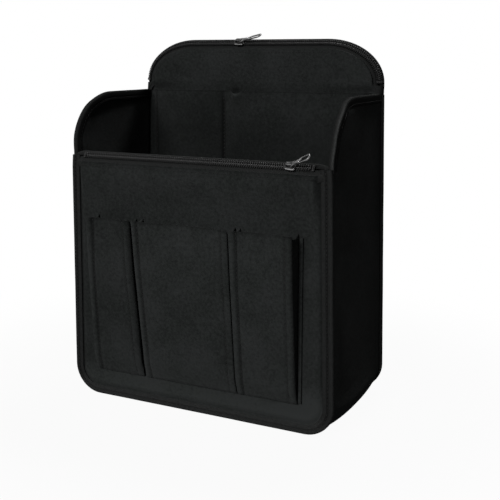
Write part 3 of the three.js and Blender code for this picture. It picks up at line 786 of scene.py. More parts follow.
print("a pocket is", POCKET_TOP - POCKET_FOOT, "mm tall")

# %% Front pockets
Pocket("pocket_left", "left_front_pocket", (-92.0, -51.4), (1.6, 3.8), (-3.6, 3.4), 11.0).make()
Pocket("pocket_centre", "centre_front_pocket", (-49.2, 38.2), (3.2, 1.2), (3.4, 0.9), 23.0).make()
Pocket("pocket_right", "right_front_pocket", (38.8, 90.8), (1.3, 2.7), (0.9, 0.0), 37.0).make()
hem = [[Vector((x, WALL_FACE - HEM_THICK + front_wave(x, z), z)) for x in (91.2, 92.1, 93.0, 93.8)]
       for z in evenly(44, 25, 155)]
# The hem is painted a little lighter, as painted light.
felt_panel("pocket_right_hem", hem, deeper(hem, HEM_THICK), [], lambda p: -0.1)

# %% [markdown]
# ## Back wall
# The back wall is the same idea, taller and with two wide round corners. Above the side panels its edge is
# the zip's, so both felts draw back from the outline there, and the inner one stands forward under the zip.
# The rows of points follow the corner's ellipse, because straight rows would leave steps in the curve. A
# soft band of painted shade stands for where the inner felt bends back over the pocket's mouth, with a
# darker spot of painted shade behind its pucker.

# %% The back wall's outline
BACK_ACROSS, BACK_DOWN = 50.0, 36.0
BACK_FOOT = BACK_TOP - BACK_DOWN
BACK_STRAIGHT = side_at(BACK_FOOT) - BACK_ACROSS


def back_corner(angle, inset=0.0):
    """A place (x, z) on the back wall's round corner, that far inside its outline."""
    return (BACK_STRAIGHT + (BACK_ACROSS - inset) * math.cos(angle),
            BACK_FOOT + (BACK_DOWN - inset) * math.sin(angle))


def back_rows(zip_inset):
    """Rows (height, half width) of a felt whose edge draws back from the bound edge to the zip's."""
    rows = []
    for z in wall_rows(SIDE_TOP) + evenly(8, SIDE_TOP, BACK_FOOT)[1:]:
        rows.append((z, wall_half(z, FELT_INSET + (zip_inset - FELT_INSET) * above_sides(z))))
    for angle in evenly(18, 0, QUARTER)[1:]:
        half, z = back_corner(angle, zip_inset)
        rows.append((z, half))
    return rows


def from_back_outline(x, z):
    if z <= BACK_FOOT:
        return min(side_at(z) - abs(x), BACK_TOP - z)
    across = max(abs(x) - BACK_STRAIGHT, 0) / BACK_ACROSS
    up = (z - BACK_FOOT) / BACK_DOWN
    level = math.hypot(across, up)
    return (1 - level) * (BACK_ACROSS + (BACK_DOWN - BACK_ACROSS) * (up / level) ** 2)


def back_wave(x, z):
    held = near_seam(from_back_outline(x, z) - 9) * near_seam(z - 9)
    return held * (0.5 * drift(x, z, 70, 8.3) + 0.2 * drift(x, z, 26, 5.9))


def back_inset(x, z):
    """How far inside the back wall's sewn outline a place lies."""
    low = rounded_inset(side_at(max(z, CORNER)) - abs(x), z, CORNER)
    return min(low, from_back_outline(x, max(z, CORNER)) + 3 * above_sides(z))


print("round upper corners", BACK_ACROSS, "mm across and", BACK_DOWN, "mm down")

# %% Back felts
MOUTH, PUCKER = SIDE_TOP, -18.0


def back_depth(x, z):
    return BACK_FELT + back_wave(x, z) + edge_roll(back_inset(x, z), 0.7)


def back_puff(x, z):
    """How far the inner felt stands forward to clear the zip."""
    return ZIP_PUFF * smooth((46 - from_back_outline(x, z)) / 32) * above_sides(z)


def back_inner_depth(x, z):
    return BACK_INNER - back_puff(x, z) + back_wave(x, z)


def back_inner_painted_shade(p):
    """Painted shade in a band over the pocket's mouth, where the felt bends back, and in a spot behind its
    pucker.
    """
    mouth_band_shade = 0.2 * peak(p.z, MOUTH + 1.8, 3.6) * smooth((108 - abs(p.x)) / 8)
    return mouth_band_shade + 0.7 * peak(p.x, PUCKER - 3, 4.6) * peak(p.z, MOUTH + 0.4, 2.4)


outer = wall_grid(back_rows(5.0), back_depth, seam_columns)
# The outer back felt is darker in its edge's seam, partly as flattened felt and partly as painted shade of
# the groove.
felt_panel("back_felt_outer", outer, deeper(outer), ["back_outer_panel"],
           lambda p: 0.5 * peak(back_inset(p.x, p.z), SEAM_IN, 1.1))
inner = wall_grid(back_rows(8.0), back_inner_depth, even_columns(72))
felt_panel("back_felt_inner", inner, deeper(inner), ["back_inner_panel"], back_inner_painted_shade)

# %% [markdown]
# ## Inner pocket
# A wide pocket lines the back wall, sewn at its sides, its foot and along one upright seam left of the
# middle. Its mouth is level with the side panels' tops. The felt is a little loose, so between the seams it
# stands off the wall, with a small pucker at the mouth beside the seam. One grid with a groove at the seam
# gives both.

# %% Inner pocket
POCKET_HALF, UPRIGHT_SEAM, SIDE_SEAM = 104.0, -32.0, 101.4
LINING_FOOT, FOOT_SEAM, SEAM_START = 14.0, 17.5, 16


def upright_seam(x, z, width):
    """The seam left of the middle, whose stitches end a little below the mouth."""
    return peak(x, UPRIGHT_SEAM, width) * (1 - 0.65 * smooth((z - MOUTH + 10) / 5))


def inner_pocket_depth(x, z):
    left, right = (-POCKET_HALF, UPRIGHT_SEAM) if x < UPRIGHT_SEAM else (UPRIGHT_SEAM, POCKET_HALF)
    arch = 1 - abs(2 * (x - left) / (right - left) - 1) ** 3
    loose = arch * smooth((z - 70) / 120) * (6.0 + 0.9 * drift(x, z, 38, 2.2))
    groove = 0.9 * upright_seam(x, z, 1.8)
    pucker = 3.2 * peak(x, PUCKER, 4.5) * smooth((z - MOUTH + 20) / 20)
    return POCKET_FELT - loose + groove - pucker + back_wave(x, z) * smooth((MOUTH - z) / 12)


def mouth_dip(x, z):
    """The mouth sags a little at the pucker."""
    return 2.3 * math.exp(-((x - PUCKER) / 4.8) ** 4) * smooth((z - MOUTH + 10) / 10)


def inner_pocket_seams_and_painted_light(p):
    """Dark in the seams, with painted shade at the mouth, over the whole lining and more lower down, and a
    painted highlight where the pucker catches the lamp.
    """
    seams = 0.85 * upright_seam(p.x, p.z, 1.5) + 0.4 * peak(abs(p.x), SIDE_SEAM, 1.2)
    mouth = 0.35 * smooth((p.z - MOUTH + 1.4) / 1.0)
    shade = 0.18 + 0.26 * smooth((245 - p.z) / 30)
    return seams + mouth + shade - 0.75 * peak(p.x, PUCKER, 4.2) * smooth((p.z - MOUTH + 5.5) / 2)


def on_inner(x, z):
    return Vector((x, inner_pocket_depth(x, z), z)), -AXIS_Y


rows = evenly(44, LINING_FOOT, MOUTH - 12) + evenly(8, MOUTH - 12, MOUTH)[1:]
columns = evenly(24, -POCKET_HALF, -38)
for steps, low, high in ((14, -38, -26), (12, -26, -10), (40, -10, POCKET_HALF)):
    columns += evenly(steps, low, high)[1:]
front = [[Vector((x, inner_pocket_depth(x, z), z - mouth_dip(x, z))) for x in columns] for z in rows]
felt_panel("inner_pocket_felt", front, deeper(front), ["inner_back_pocket"], inner_pocket_seams_and_painted_light)
sewn("inner_pocket_stitches", [
    stitch_row([on_inner(UPRIGHT_SEAM, z) for z in evenly(60, SEAM_START, MOUTH - 7)]),
    *[stitch_row([on_inner(side * SIDE_SEAM, z) for z in evenly(60, SEAM_START, MOUTH - 2)])
      for side in (-1, 1)],
    stitch_row([on_inner(x, FOOT_SEAM) for x in evenly(40, -100, 100)]),
])

# %% [markdown]
# ## Side panels and bottom
# One strip of felt runs round each lower corner and up the side, two millimetres inside the walls' bound
# edges. Its free edge rises from the front wall in a wide curve and runs level to the back. Each row of the
# grid is one line across the strip, and near the top the rows get shorter as the curve cuts them. Felt
# can't follow a tight corner, so the strip bulges there, and its free edge bows out where nothing holds it.

# %% How the side panels bend
SIDE_ALONG, SIDE_DOWN = 50.0, 46.0
SIDE_FOOT, SIDE_BEND = INNER_FELT_TOP + GAP, SIDE_TOP - SIDE_DOWN
SEAM_STEP, BOTTOM_SEAM = 2.0, 84.0


def side_station(side, z):
    """A station on the walls' leaning edge."""
    return Vector((side * side_at(z), 0, z)), Vector((-side, 0, -LEAN)).normalized(), AXIS_Y


def side_line(side, top):
    """Stations up one side of the walls' outline, from the bottom seam."""
    line = []
    for x in evenly(2, BOTTOM_SEAM + GAP / 2, HALF_WIDTH - CORNER)[:-1]:
        line.append((AXIS_X * side * x, AXIS_Z, AXIS_Y))
    for t in evenly(12):
        angle = (1 - t) * QUARTER
        across, down = math.cos(angle), math.sin(angle)
        origin = Vector((side * (HALF_WIDTH - CORNER + CORNER * across), 0, CORNER * (1 - down)))
        line.append((origin, Vector((-side * across, 0, down)), AXIS_Y))
    for z in evenly(round((top - CORNER) / ROW_STEP), CORNER, top)[1:]:
        line.append(side_station(side, z))
    return line


def free_corner(angle):
    """A place (y, z) on the wide corner of a side panel's free edge."""
    return (FRONT_INNER + SIDE_ALONG - (SIDE_ALONG - FELT_INSET) * math.cos(angle),
            SIDE_BEND + (SIDE_DOWN - FELT_INSET) * math.sin(angle))


def free_edge(z):
    """Where the side panel's felt starts at a height, behind the front wall."""
    if z <= SIDE_FOOT:
        return GUSSET_FRONT
    rise = min(max(z - SIDE_BEND, 0) / (SIDE_DOWN - FELT_INSET), 1)
    return free_corner(math.asin(rise))[0]


def side_bow(y, z):
    held = near_seam(y - free_edge(z) - 7) * near_seam(GUSSET_BACK - y, 9)
    held *= near_seam(SIDE_TOP - 8 - z) * near_seam(z - 26)
    return held * (0.9 * drift(y, z, 58, 3.3) + 0.3 * drift(y, z, 21, 6.6))


def edge_bow(z):
    """How far the free edge stands out between the front wall and the level top."""
    return (0.7 * smooth((z - 192) / 12) + 1.2 * smooth((z - 206) / 18)) * smooth((254 - z) / 10)


def corner_bulge(x, y, z):
    """How far the strip stands out between the walls, where it sags round the lower corner."""
    if z >= CORNER or abs(x) <= HALF_WIDTH - CORNER:
        return 0.0
    turn = math.sin(2 * math.atan2(CORNER - z, abs(x) - HALF_WIDTH + CORNER))
    between = math.sin(math.pi * min(max((y - GUSSET_FRONT) / (GUSSET_BACK - GUSSET_FRONT), 0), 1))
    return 4.6 * max(turn, 0) * between ** 0.55


print("the free edge curves up", SIDE_DOWN, "mm over", SIDE_ALONG, "mm")

# %% Side panels and bottom
def side_felt(name, node, side):
    line = side_line(side, SIDE_FOOT)
    line += [side_station(side, free_corner(angle)[1]) for angle in evenly(16, 0, QUARTER)[1:]]
    skins = []
    for depth in (SEAM_STEP, SEAM_STEP + FELT_THICK):
        grid = []
        for origin, inward, _ in line:
            x, z = origin.x, origin.z
            start, row = free_edge(z), []
            for y in evenly(28, start, GUSSET_BACK):
                out = corner_bulge(x, y, z) + edge_bow(z) * smooth(1 - (y - start) / 60)
                row.append(origin + inward * (depth + side_bow(y, z) - out) + AXIS_Y * y)
            grid.append(row)
        skins.append(grid)
    # Painted shade over both side panels, more on the right one, which faces away from the lamps.
    felt_panel(name, skins[0], skins[1], [node], lambda p: 0.14 + 0.1 * side)


FLOOR_HALF = BOTTOM_SEAM - GAP / 2


def floor_rise(x, y):
    held = near_seam(83.8 - abs(x), 12) * near_seam(min(y - GUSSET_FRONT, GUSSET_BACK - y), 12)
    return SEAM_STEP + 0.35 * drift(x, y, 40, 9.1) * held


side_felt("side_felt_left", "left_side_panel", -1)
side_felt("side_felt_right", "right_side_panel", 1)
floor_grid = [[Vector((x, y, floor_rise(x, y))) for x in evenly(44, -FLOOR_HALF, FLOOR_HALF)]
              for y in evenly(26, GUSSET_FRONT, GUSSET_BACK)]
felt_panel("bottom_felt", floor_grid, deeper(floor_grid, way=AXIS_Z), ["bottom_panel"])

# %% [markdown]
# ## Tape over the bottom's two seams
# The bottom felt meets the side strips edge to edge. Inside, a flat tape covers each of these seams and is
# sewn down along both its edges, so no light comes up through them. A dark stripe on the felt would do from
# afar, but it would have no edges to catch the light, so each is a real strip with real stitches.

# %% Tape over the bottom's two seams
TAPE_STITCH = (3.1, 2.5)
for label, side in (("left", -1), ("right", 1)):
    seam = [Vector((side * BOTTOM_SEAM, y, SEAM_STEP + FELT_THICK + 0.35))
            for y in evenly(24, GUSSET_FRONT + 0.4, GUSSET_BACK - 0.4)]
    flat = strip([Vector((a, 0)) for a in evenly(12, -5.5, 5.5)], 0.7)
    # The tape is darker along its two stitch lines, partly as flattened tape and partly as painted shade.
    tape_piece(f"{label}_bottom_seam_tape", [(p, AXIS_X * -side, AXIS_Z) for p in seam], flat,
               lambda a, b, z: 0.6 * peak(abs(a), 4.0, 0.7))
    sewn(f"{label}_bottom_seam_stitches", [
        stitch_row([(p + Vector((off, 0, 0.3)), AXIS_Z) for p in seam], *TAPE_STITCH) for off in (-4, 4)
    ])

# %% [markdown]
# ## Bound edges
# A tape is folded over each cut edge and sewn through, about four millimetres in. The sewing pulls the tape
# down, so it swells between the stitches and the fold, and that swelling, with a painted highlight along
# the fold, is the bright line along every edge. The tape also gets painted shade in its seam and at its
# edge, and painted light near the floor. The wall's tape is wide on the outside and narrow inside, where it
# meets the side panel.

# %% Tape round the two walls
WALL_SEAM, WOBBLE, FRONT_TAPE_TOP = 4.3, 0.12, 206.3


def flap(width, seam, depth, way, swell=0.26):
    """Centre line of a tape's flap, from its edge in towards the fold, swelling away from the cloth."""
    points = []
    for a in evenly(18, width - 0.3, 1.5):
        bulge = swell * math.sin(math.pi * (seam - a) / seam) ** 0.7 if 0 < a < seam else 0.05
        points.append(Vector((a, depth - way * (bulge - 0.3 * peak(a, seam, 0.7)))))
    return points


def wall_tape(outer, inner):
    """Section of a wall's tape: a wide flap outside, the round fold, and a short flap inside."""
    way = 1 if inner > outer else -1
    near, far = outer + way * TAPE_THICK / 2, inner - way * TAPE_THICK / 2
    wide = [p for p in flap(8.5, WALL_SEAM, near, way) if p.x > 3.1]
    roll = [Vector((3.0 - 2.58 * math.sin(a), near + way * 2.2 * (1 - math.cos(a))))
            for a in evenly(6, 0, QUARTER)]
    under = [Vector((1.5 - 1.08 * math.cos(a), far - way * 1.3 * (1 - math.sin(a))))
             for a in evenly(4, 0, QUARTER)]
    return strip(wide + roll + under, TAPE_THICK)


def wobbled(stations, seed):
    """Stations moved a hair's breadth, as sewn work is."""
    made = []
    for origin, inward, through in stations:
        shift = WOBBLE * drift(origin.x + origin.y, origin.z, 30, seed)
        made.append((origin + inward * shift, inward, through))
    return made


def wall_edge(top):
    foot = [(AXIS_X * x, AXIS_Z, AXIS_Y) for x in evenly(30, -BOTTOM_SEAM, BOTTOM_SEAM)]
    return side_line(-1, top)[::-1] + foot + side_line(1, top)


def wall_tape_seams_and_painted_light(a, b, z):
    """Painted shade in the tape's seam and at its edge, and painted light along its fold and near the
    floor.
    """
    low = smooth((16 - z) / 12)
    dark = (1.05 - 0.4 * low) * peak(a, WALL_SEAM, 0.85) + 0.35 * smooth((a - 7.7) / 0.6)
    return min(dark - 0.75 * smooth((2.4 - a) / 1.6) - 0.7 * low, 1.0)


def bind_wall(name, node, outer, inner, top, seed, tuck=0.0):
    """Tape round one wall, whose ends draw in by tuck at the top."""
    way = 1 if inner > outer else -1
    stations = []
    for origin, inward, through in wobbled(wall_edge(top), seed):
        drawn = origin + inward * tuck * smooth((origin.z - top + 9) / 9)
        stations.append((drawn, inward, through))
    tape_piece(name, stations, wall_tape(outer, inner), wall_tape_seams_and_painted_light, [node])
    seam = [(o + i * WALL_SEAM + t * (outer + way * 0.14), t * -way) for o, i, t in stations]
    sewn(name + "_stitches", [stitch_row(seam, *TAPE_STITCH)])


bind_wall("front_edge_tape", "front_binding", FRONT_EDGE, GUSSET_FRONT + TAPE_THICK,
          top=FRONT_TAPE_TOP, seed=12.5, tuck=0.6)
bind_wall("back_edge_tape", "back_binding", BACK_EDGE, GUSSET_BACK - TAPE_THICK,
          top=SIDE_TOP - FELT_INSET, seed=17.5)

# %% [markdown]
# ## Tape over the sides' free edges
# The same tape is folded over the curved free edge of each side panel, with equal flaps inside and outside.
# From the front only its rounded nose shows. It catches more light than the felt behind it, and a painted
# highlight adds to that, most of all on the right panel.

# %% Tape over the side panels
EDGE_SEAM, EDGE_FOOT = 4.4, 203.2
EDGE_HALF = FELT_THICK / 2 + GAP + TAPE_THICK / 2
EDGE_SKIN = FELT_THICK / 2 + GAP + TAPE_THICK - 0.22


def free_line(side):
    """Stations along a side panel's free edge: up from the front wall, round, and level to the back."""
    spots = [(FRONT_INNER + FELT_INSET, EDGE_FOOT, 1.0, 0.0)]
    along, down = SIDE_ALONG - FELT_INSET, SIDE_DOWN - FELT_INSET
    for angle in evenly(24, 0, QUARTER):
        normal = Vector((math.cos(angle) / along, -math.sin(angle) / down)).normalized()
        spots.append((*free_corner(angle), *normal))
    level = evenly(12, spots[-1][0], GUSSET_BACK - FELT_INSET)[1:]
    spots += [(y, SIDE_TOP - FELT_INSET, 0.0, -1.0) for y in level]
    through = Vector((side, 0, LEAN)).normalized()
    line = []
    for y, z, iy, iz in spots:
        origin = Vector((side * (side_at(z) - SEAM_STEP - FELT_THICK / 2 + edge_bow(z)), y, z))
        line.append((origin, Vector((-side * LEAN * iz, iy, iz)).normalized(), through))
    return line


def edge_tape():
    below = flap(6.5, EDGE_SEAM, -EDGE_HALF, 1, 0.12)
    above = [Vector((p.x, -p.y)) for p in below][::-1]
    nose = rounded([below[-1], (-0.72, -EDGE_HALF), (-0.72, EDGE_HALF), above[0]], 1.5, 4)
    return strip(below[:-1] + nose + above[1:], TAPE_THICK)


def edge_tape_seams_and_painted_light(side):
    """Painted shade in the seam, on the inner flap and at the edges, and a painted highlight on the nose,
    far more on the right panel's.
    """
    def seams_and_light(a, b, z):
        dark = 0.35 * smooth((0.6 - b) / 1.2) + 0.35 * peak(a, EDGE_SEAM, 0.7)
        dark += 0.95 * smooth((a - 5.6) / 0.4)
        # A painted highlight along the nose, fading near the top.
        nose = peak(b, 1.6, 0.95) * smooth((1.2 - a) / 1.6)
        return min(dark - (1.2 + side) * nose * (0.1 + 0.9 * smooth((255 - z) / 16)), 1.0)
    return seams_and_light


for label, side in (("left", -1), ("right", 1)):
    stations = wobbled(free_line(side), 21.5 + side)
    tape_piece(f"{label}_free_edge_tape", stations, edge_tape(), edge_tape_seams_and_painted_light(side),
               [f"{label}_side_binding"])
    rows = []
    for way in (-1, 1):
        seam = [(o + i * EDGE_SEAM + t * EDGE_SKIN * way, t * way) for o, i, t in stations]
        rows.append(stitch_row(seam, *TAPE_STITCH))
    sewn(f"{label}_free_edge_stitches", rows)

# %% [markdown]
# ## Zips
# Each zip joins the wall's two felts along the top. Its tape slopes up from the lower felt edge, turns over
# the ridge and runs down inside. The teeth are one nylon coil a side: every loop stands up off the tape,
# crosses the middle and hooks between its two neighbours. A striped texture would lie flat, so each loop is
# a small bent tube, set along the zip 1.8 mm apart.

# %% Zip sections
SLOPE = math.radians(35)
SLOPE_HALF = 4.7
UP = Vector((-math.cos(SLOPE), math.sin(SLOPE)))
OUT = Vector((-math.sin(SLOPE), -math.cos(SLOPE)))
ZIP_MIDDLE = UP * -SLOPE_HALF


def zip_point(up, out):
    return ZIP_MIDDLE + UP * up + OUT * out


def zip_section(radius, *bends):
    return strip(rounded(bends, radius), ZIP_TAPE_THICK)


RIDGE_TAPE = zip_section(1.3, zip_point(0.75, -0.3), zip_point(4.5, -0.3), (1.0, 1.6), (7.4, 1.6))
FOOT_TAPE = zip_section(1.2, zip_point(-0.75, -0.3), zip_point(-SLOPE_HALF, -0.3), (13.4, -5.09))
END_FOLD = zip_section(1.6, zip_point(4.5, 0.0), zip_point(1.9, 1.75),
                       zip_point(-1.9, 1.75), zip_point(-5.2, 0.0))


print("the zips' tapes slope", round(math.degrees(SLOPE)), "degrees from upright")

# %% Zip stations
def front_zip_line():
    return [(Vector((x, FRONT_RIDGE, FRONT_TOP)), -AXIS_Z, AXIS_Y) for x in evenly(60, -ZIP_HALF, ZIP_HALF)]


def back_zip_line():
    """Stations round the left corner, along the top and round the right corner."""
    left, right = [], []
    for angle in evenly(22, 0, QUARTER):
        x, z = back_corner(angle)
        inward = Vector((-math.cos(angle) / BACK_ACROSS, -math.sin(angle) / BACK_DOWN)).normalized()
        for side, end in ((-1, left), (1, right)):
            end.append((Vector((side * x, BACK_RIDGE, z)), Vector((side * inward.x, 0, inward.y)), AXIS_Y))
    top = [(Vector((x, BACK_RIDGE, BACK_TOP)), -AXIS_Z, AXIS_Y)
           for x in evenly(24, -BACK_STRAIGHT, BACK_STRAIGHT)[1:-1]]
    return left + top + right[::-1]


def tail_of_back_zip(side, heights):
    """Stations below one end of the back zip, which narrow to tuck in under the bound edge."""
    tail = []
    for z in heights:
        origin = Vector((side * (side_at(z) - 0.5 * smooth((BACK_FOOT - z) / 8)), BACK_RIDGE, z))
        tail.append((origin, AXIS_X * -side * (0.45 + 0.55 * above_sides(z)), AXIS_Y))
    return tail


def with_tails(line):
    heights = (255.6, 257.5, 260, 262.5)
    return tail_of_back_zip(-1, heights) + line + tail_of_back_zip(1, heights[::-1])


def with_tapered_ends(line):
    """The front zip's line with its tapes' ends, which sink and narrow to tuck in beside the bound edge."""
    left, right = [], []
    for t in evenly(7)[1:]:
        narrow = 1 - 0.3 * t * t
        for side, end in ((-1, left), (1, right)):
            origin = Vector((side * (ZIP_HALF + 9.5 * t), FRONT_RIDGE, FRONT_TOP - 2.0 * t * t))
            end.append((origin, AXIS_Z * -narrow, AXIS_Y * narrow))
    return left[::-1] + line + right


def on_zip(station, up, out, along=0.0, way=AXIS_X):
    origin, inward, through = station
    a, b = zip_point(up, out)
    return origin + inward * a + through * b + way * along


def turned(station, way):
    """A direction in the zip's section, as it stands at a station."""
    return (station[1] * way.x + station[2] * way.y).normalized()


FRONT_LINE, BACK_LINE = front_zip_line(), back_zip_line()
print("stations along the front zip", len(FRONT_LINE), "and the back zip", len(BACK_LINE))

# %% Coil, sewing and tapes
PITCH = 1.8
# Places along one loop: up the slope, out from the tape, along the zip, and the thread's radius there
LOOP = (
    (2.3, 0.2, -0.2, 0.32), (2.38, 0.8, -0.17, 0.38), (2.0, 1.22, -0.1, 0.4), (1.3, 1.3, 0.0, 0.39),
    (0.55, 1.0, 0.05, 0.36), (0.0, 0.78, 0.06, 0.4), (-0.4, 0.5, 0.06, 0.34),
)


def loop_of_coil(station, way, hand):
    """One loop of the coil: hand is +1 for the row above the middle, -1 for the one below."""
    path = [on_zip(station, hand * up, out, along * PITCH, way) for up, out, along, _ in LOOP]
    return tube(path, [radius for *_, radius in LOOP])


def coil_rows(line, prefix, upper, lower, shade=0.0):
    """Both rows of loops. Each loop has painted shade near the tape's edge and a painted highlight where it
    crosses the middle.
    """
    spots = resample(line, PITCH / 2)[3:-3]
    path = [spot[0] for spot in spots]
    shades = [min(shade + 0.95 * smooth((abs(up) - 0.5) / 0.9) - 0.3, 1.0) for up, *_ in LOOP]
    one_loop = [value for value in shades for _ in range(TUBE_SIDES)]
    for hand, name in ((1, upper), (-1, lower)):
        first = 0 if hand > 0 else 1
        loops = [loop_of_coil(spots[i], way_at(path, i), hand) for i in range(first, len(spots) - 1, 2)]
        points, faces = gathered(loops)
        piece(f"{prefix}_coil_{name}", points, faces, COIL, [f"{prefix}_{name}_teeth"],
              sharp=80, seams_and_painted_light=one_loop * len(loops))
        print(f"{prefix} coil {name}: {len(loops)} loops")


def coil_sewing(line, prefix):
    """Two wavy threads over the coil, and a row of stitches along the ridge."""
    finer = resample(line, PITCH / 4)[6:-6]
    threads = []
    for side in (-1, 1):
        path = [on_zip(s, side * 1.5, 1.62 + side * 0.1 * math.cos(i * QUARTER))
                for i, s in enumerate(finer)]
        threads.append(tube(path, [0.17] * len(path), 5))
    row = stitch_row([(on_zip(s, 3.5, 0.0), turned(s, OUT)) for s in line], 3.0, 2.4, 0.22)
    sewn(f"{prefix}_coil_sewing", [row], threads)


def zip_tape(line, name, node, section, shade=0.0):
    """A zip's tape, with painted shade in the fold beside the coil and a painted highlight along its ridge.
    """
    def seams_and_light(a, b, z):
        up = abs((Vector((a, b)) - ZIP_MIDDLE).dot(UP))
        return shade + 0.6 * smooth((3.7 - up) / 1.0) - 0.25 * peak(up, SLOPE_HALF, 0.7)
    tape_piece(name, line, section, seams_and_light, [node], ZIP_TAPE)


zip_tape(with_tapered_ends(FRONT_LINE), "front_zip_tape_ridge", "front_zip_upper_tape", RIDGE_TAPE)
# The front zip's lower tape and both of the back zip's tapes get extra painted shade.
zip_tape(with_tapered_ends(FRONT_LINE), "front_zip_tape_foot", "front_zip_lower_tape", FOOT_TAPE, 0.15)
zip_tape(with_tails(BACK_LINE), "back_zip_tape_ridge", "back_zip_outer_tape", RIDGE_TAPE, 0.62)
zip_tape(with_tails(BACK_LINE), "back_zip_tape_foot", "back_zip_inner_tape", FOOT_TAPE, 0.3)
coil_rows(FRONT_LINE, "front_zip", "upper", "lower")
coil_sewing(FRONT_LINE, "front_zip")
# The back zip's coil gets extra painted shade.
coil_rows(BACK_LINE, "back_zip", "outer", "inner", 0.6)
coil_sewing(BACK_LINE, "back_zip")

# %% [markdown]
# ## The back zip's ends
# Below the round corners the back zip runs out under the bound edge. A short fold of the same tape covers
# the coil's end there. The coil could just stop, but its cut end would show from the side, so a wider
# section is carried over it along the last stations of the zip's own line.

# %% Tape folded over the back zip's ends
for label, side in (("left", -1), ("right", 1)):
    tail = tail_of_back_zip(side, (262.2, 261, 259.5, 258, 256.5, 254.6))
    # The folds get a little painted shade, as the back zip's tapes do.
    tape_piece(f"back_zip_{label}_end_fold", tail, END_FOLD, lambda a, b, z: 0.3, (), ZIP_TAPE)
print("2 folds over the zip's ends")

# %% [markdown]
# ## Seams that hold the zips
# A row of stitches runs three millimetres below the cut edge of each felt that covers a zip's tape. On the
# back wall it follows the round corners. Dashes in the felt's colour would lie flat under a slanting light,
# so these rows are single threads too, set at the depth that the felt has at each place.

# %% Sewing below the zips
ZIP_STITCH = (3.2, 2.6)
SEAM_HEIGHT, SEAM_INSET = 199.0, 11.0


def front_seam_point(x):
    depth = FRONT_FELT - front_puff(x, SEAM_HEIGHT) + front_wave(x, SEAM_HEIGHT)
    return Vector((x, depth, SEAM_HEIGHT)), -AXIS_Y


def back_seam_point(side, angle):
    x, z = back_corner(angle, SEAM_INSET)
    return Vector((side * x, back_inner_depth(side * x, z), z)), -AXIS_Y


angles = evenly(16, 0.0, QUARTER)
front_seam = [front_seam_point(x) for x in evenly(60, -106, 106)]
back_seam = [back_seam_point(-1, a) for a in angles] + [back_seam_point(1, a) for a in angles[::-1]]
sewn("front_zip_seam", [stitch_row(front_seam, *ZIP_STITCH)])
sewn("back_zip_seam", [stitch_row(back_seam, *ZIP_STITCH)])

# %% [markdown]
# ## Stops, sliders and pulls
# The metal pieces are cast and plated, so every edge is rounded. A filled 2-D curve with a bevel makes a
# plate with rounded edges and a clean hole in one step, and the slider's bridge is a rounded bar bent over
# its top. Painted shade darkens most parts of a slider, one lip is left bright as a painted highlight, and
# a pull gets painted shade near its pin. A slider moves with its own body, and its pull, which is a little
# twisted as a loose pull lies, swings on a second one.

# %% Metal helpers
def plate(outlines, thickness, bevel):
    """Points and faces of a flat plate centred on z 0. The first outline is its edge, a second its hole."""
    curve = bpy.data.curves.new("plate_outline", "CURVE")
    curve.dimensions = "2D"
    curve.fill_mode = "BOTH"
    curve.extrude = thickness / 2 - bevel
    curve.bevel_depth = bevel
    curve.bevel_resolution = 2
    curve.offset = -bevel
    for outline in outlines:
        spline = curve.splines.new("POLY")
        spline.points.add(len(outline) - 1)
        for point, (x, y) in zip(spline.points, outline):
            point.co = (x, y, 0, 1)
        spline.use_cyclic_u = True
    carrier = bpy.data.objects.new("plate_outline", curve)
    scene.collection.objects.link(carrier)
    mesh = bpy.data.meshes.new_from_object(carrier.evaluated_get(bpy.context.evaluated_depsgraph_get()))
    shell = bmesh.new()
    shell.from_mesh(mesh)
    bmesh.ops.remove_doubles(shell, verts=shell.verts, dist=0.002)
    shell.verts.index_update()
    points = [v.co.copy() for v in shell.verts]
    faces = [tuple(v.index for v in f.verts) for f in shell.faces]
    shell.free()
    bpy.data.objects.remove(carrier)
    bpy.data.curves.remove(curve)
    bpy.data.meshes.remove(mesh)
    return points, faces


def bend(a, control, b):
    a, control, b = Vector(a), Vector(control), Vector(b)
    return [a.lerp(control, t).lerp(control.lerp(b, t), t) for t in evenly(6)]


def arc(x, y, radius, start, end, steps=14):
    return [Vector((x + radius * math.cos(a), y + radius * math.sin(a))) for a in evenly(steps, start, end)]


def mirrored(path):
    """The path's image across its long axis, run backwards."""
    return [Vector((p.x, -p.y)) for p in path[::-1]]


def round_box(width, height, radius):
    corners = []
    for cx, cy, turn in ((1, 1, 0), (-1, 1, 1), (-1, -1, 2), (1, -1, 3)):
        x, y = cx * (width / 2 - radius), cy * (height / 2 - radius)
        corners += arc(x, y, radius, turn * QUARTER, (turn + 1) * QUARTER, 3)
    return corners


def boxed(width, height, radius, thickness, bevel, place=(0, 0, 0)):
    """A rounded box as a plate, moved to its place."""
    return shifted(plate([round_box(width, height, radius)], thickness, bevel), *place)


def placed(part, origin, axes):
    points, faces = part
    return [origin + axes[0] * p[0] + axes[1] * p[1] + axes[2] * p[2] for p in points], faces


def shifted(part, dx=0.0, dy=0.0, dz=0.0):
    return [Vector((p[0] + dx, p[1] + dy, p[2] + dz)) for p in part[0]], part[1]


print("metal helpers are ready")

# %% Stops
def stop(name, node, station, next_origin):
    way = (next_origin - station[0]).normalized()
    clamp = boxed(2.2, 4.9, 0.5, 1.6, 0.35)
    ridge = boxed(1.0, 4.2, 0.3, 0.8, 0.25, (0, 0, 0.75))
    points, faces = placed(gathered([clamp, ridge]), on_zip(station, 0, 1.0, 1.1, way),
                           (way, turned(station, UP), turned(station, OUT)))
    piece(name, points, faces, LACQUER, [node], sharp=50)


for prefix, line in (("front_zip", FRONT_LINE), ("back_zip", BACK_LINE)):
    stop(f"{prefix}_stop_left", f"{prefix}_left_stop", line[0], line[1][0])
    stop(f"{prefix}_stop_right", f"{prefix}_right_stop", line[-1], line[-2][0])
print("4 stops")

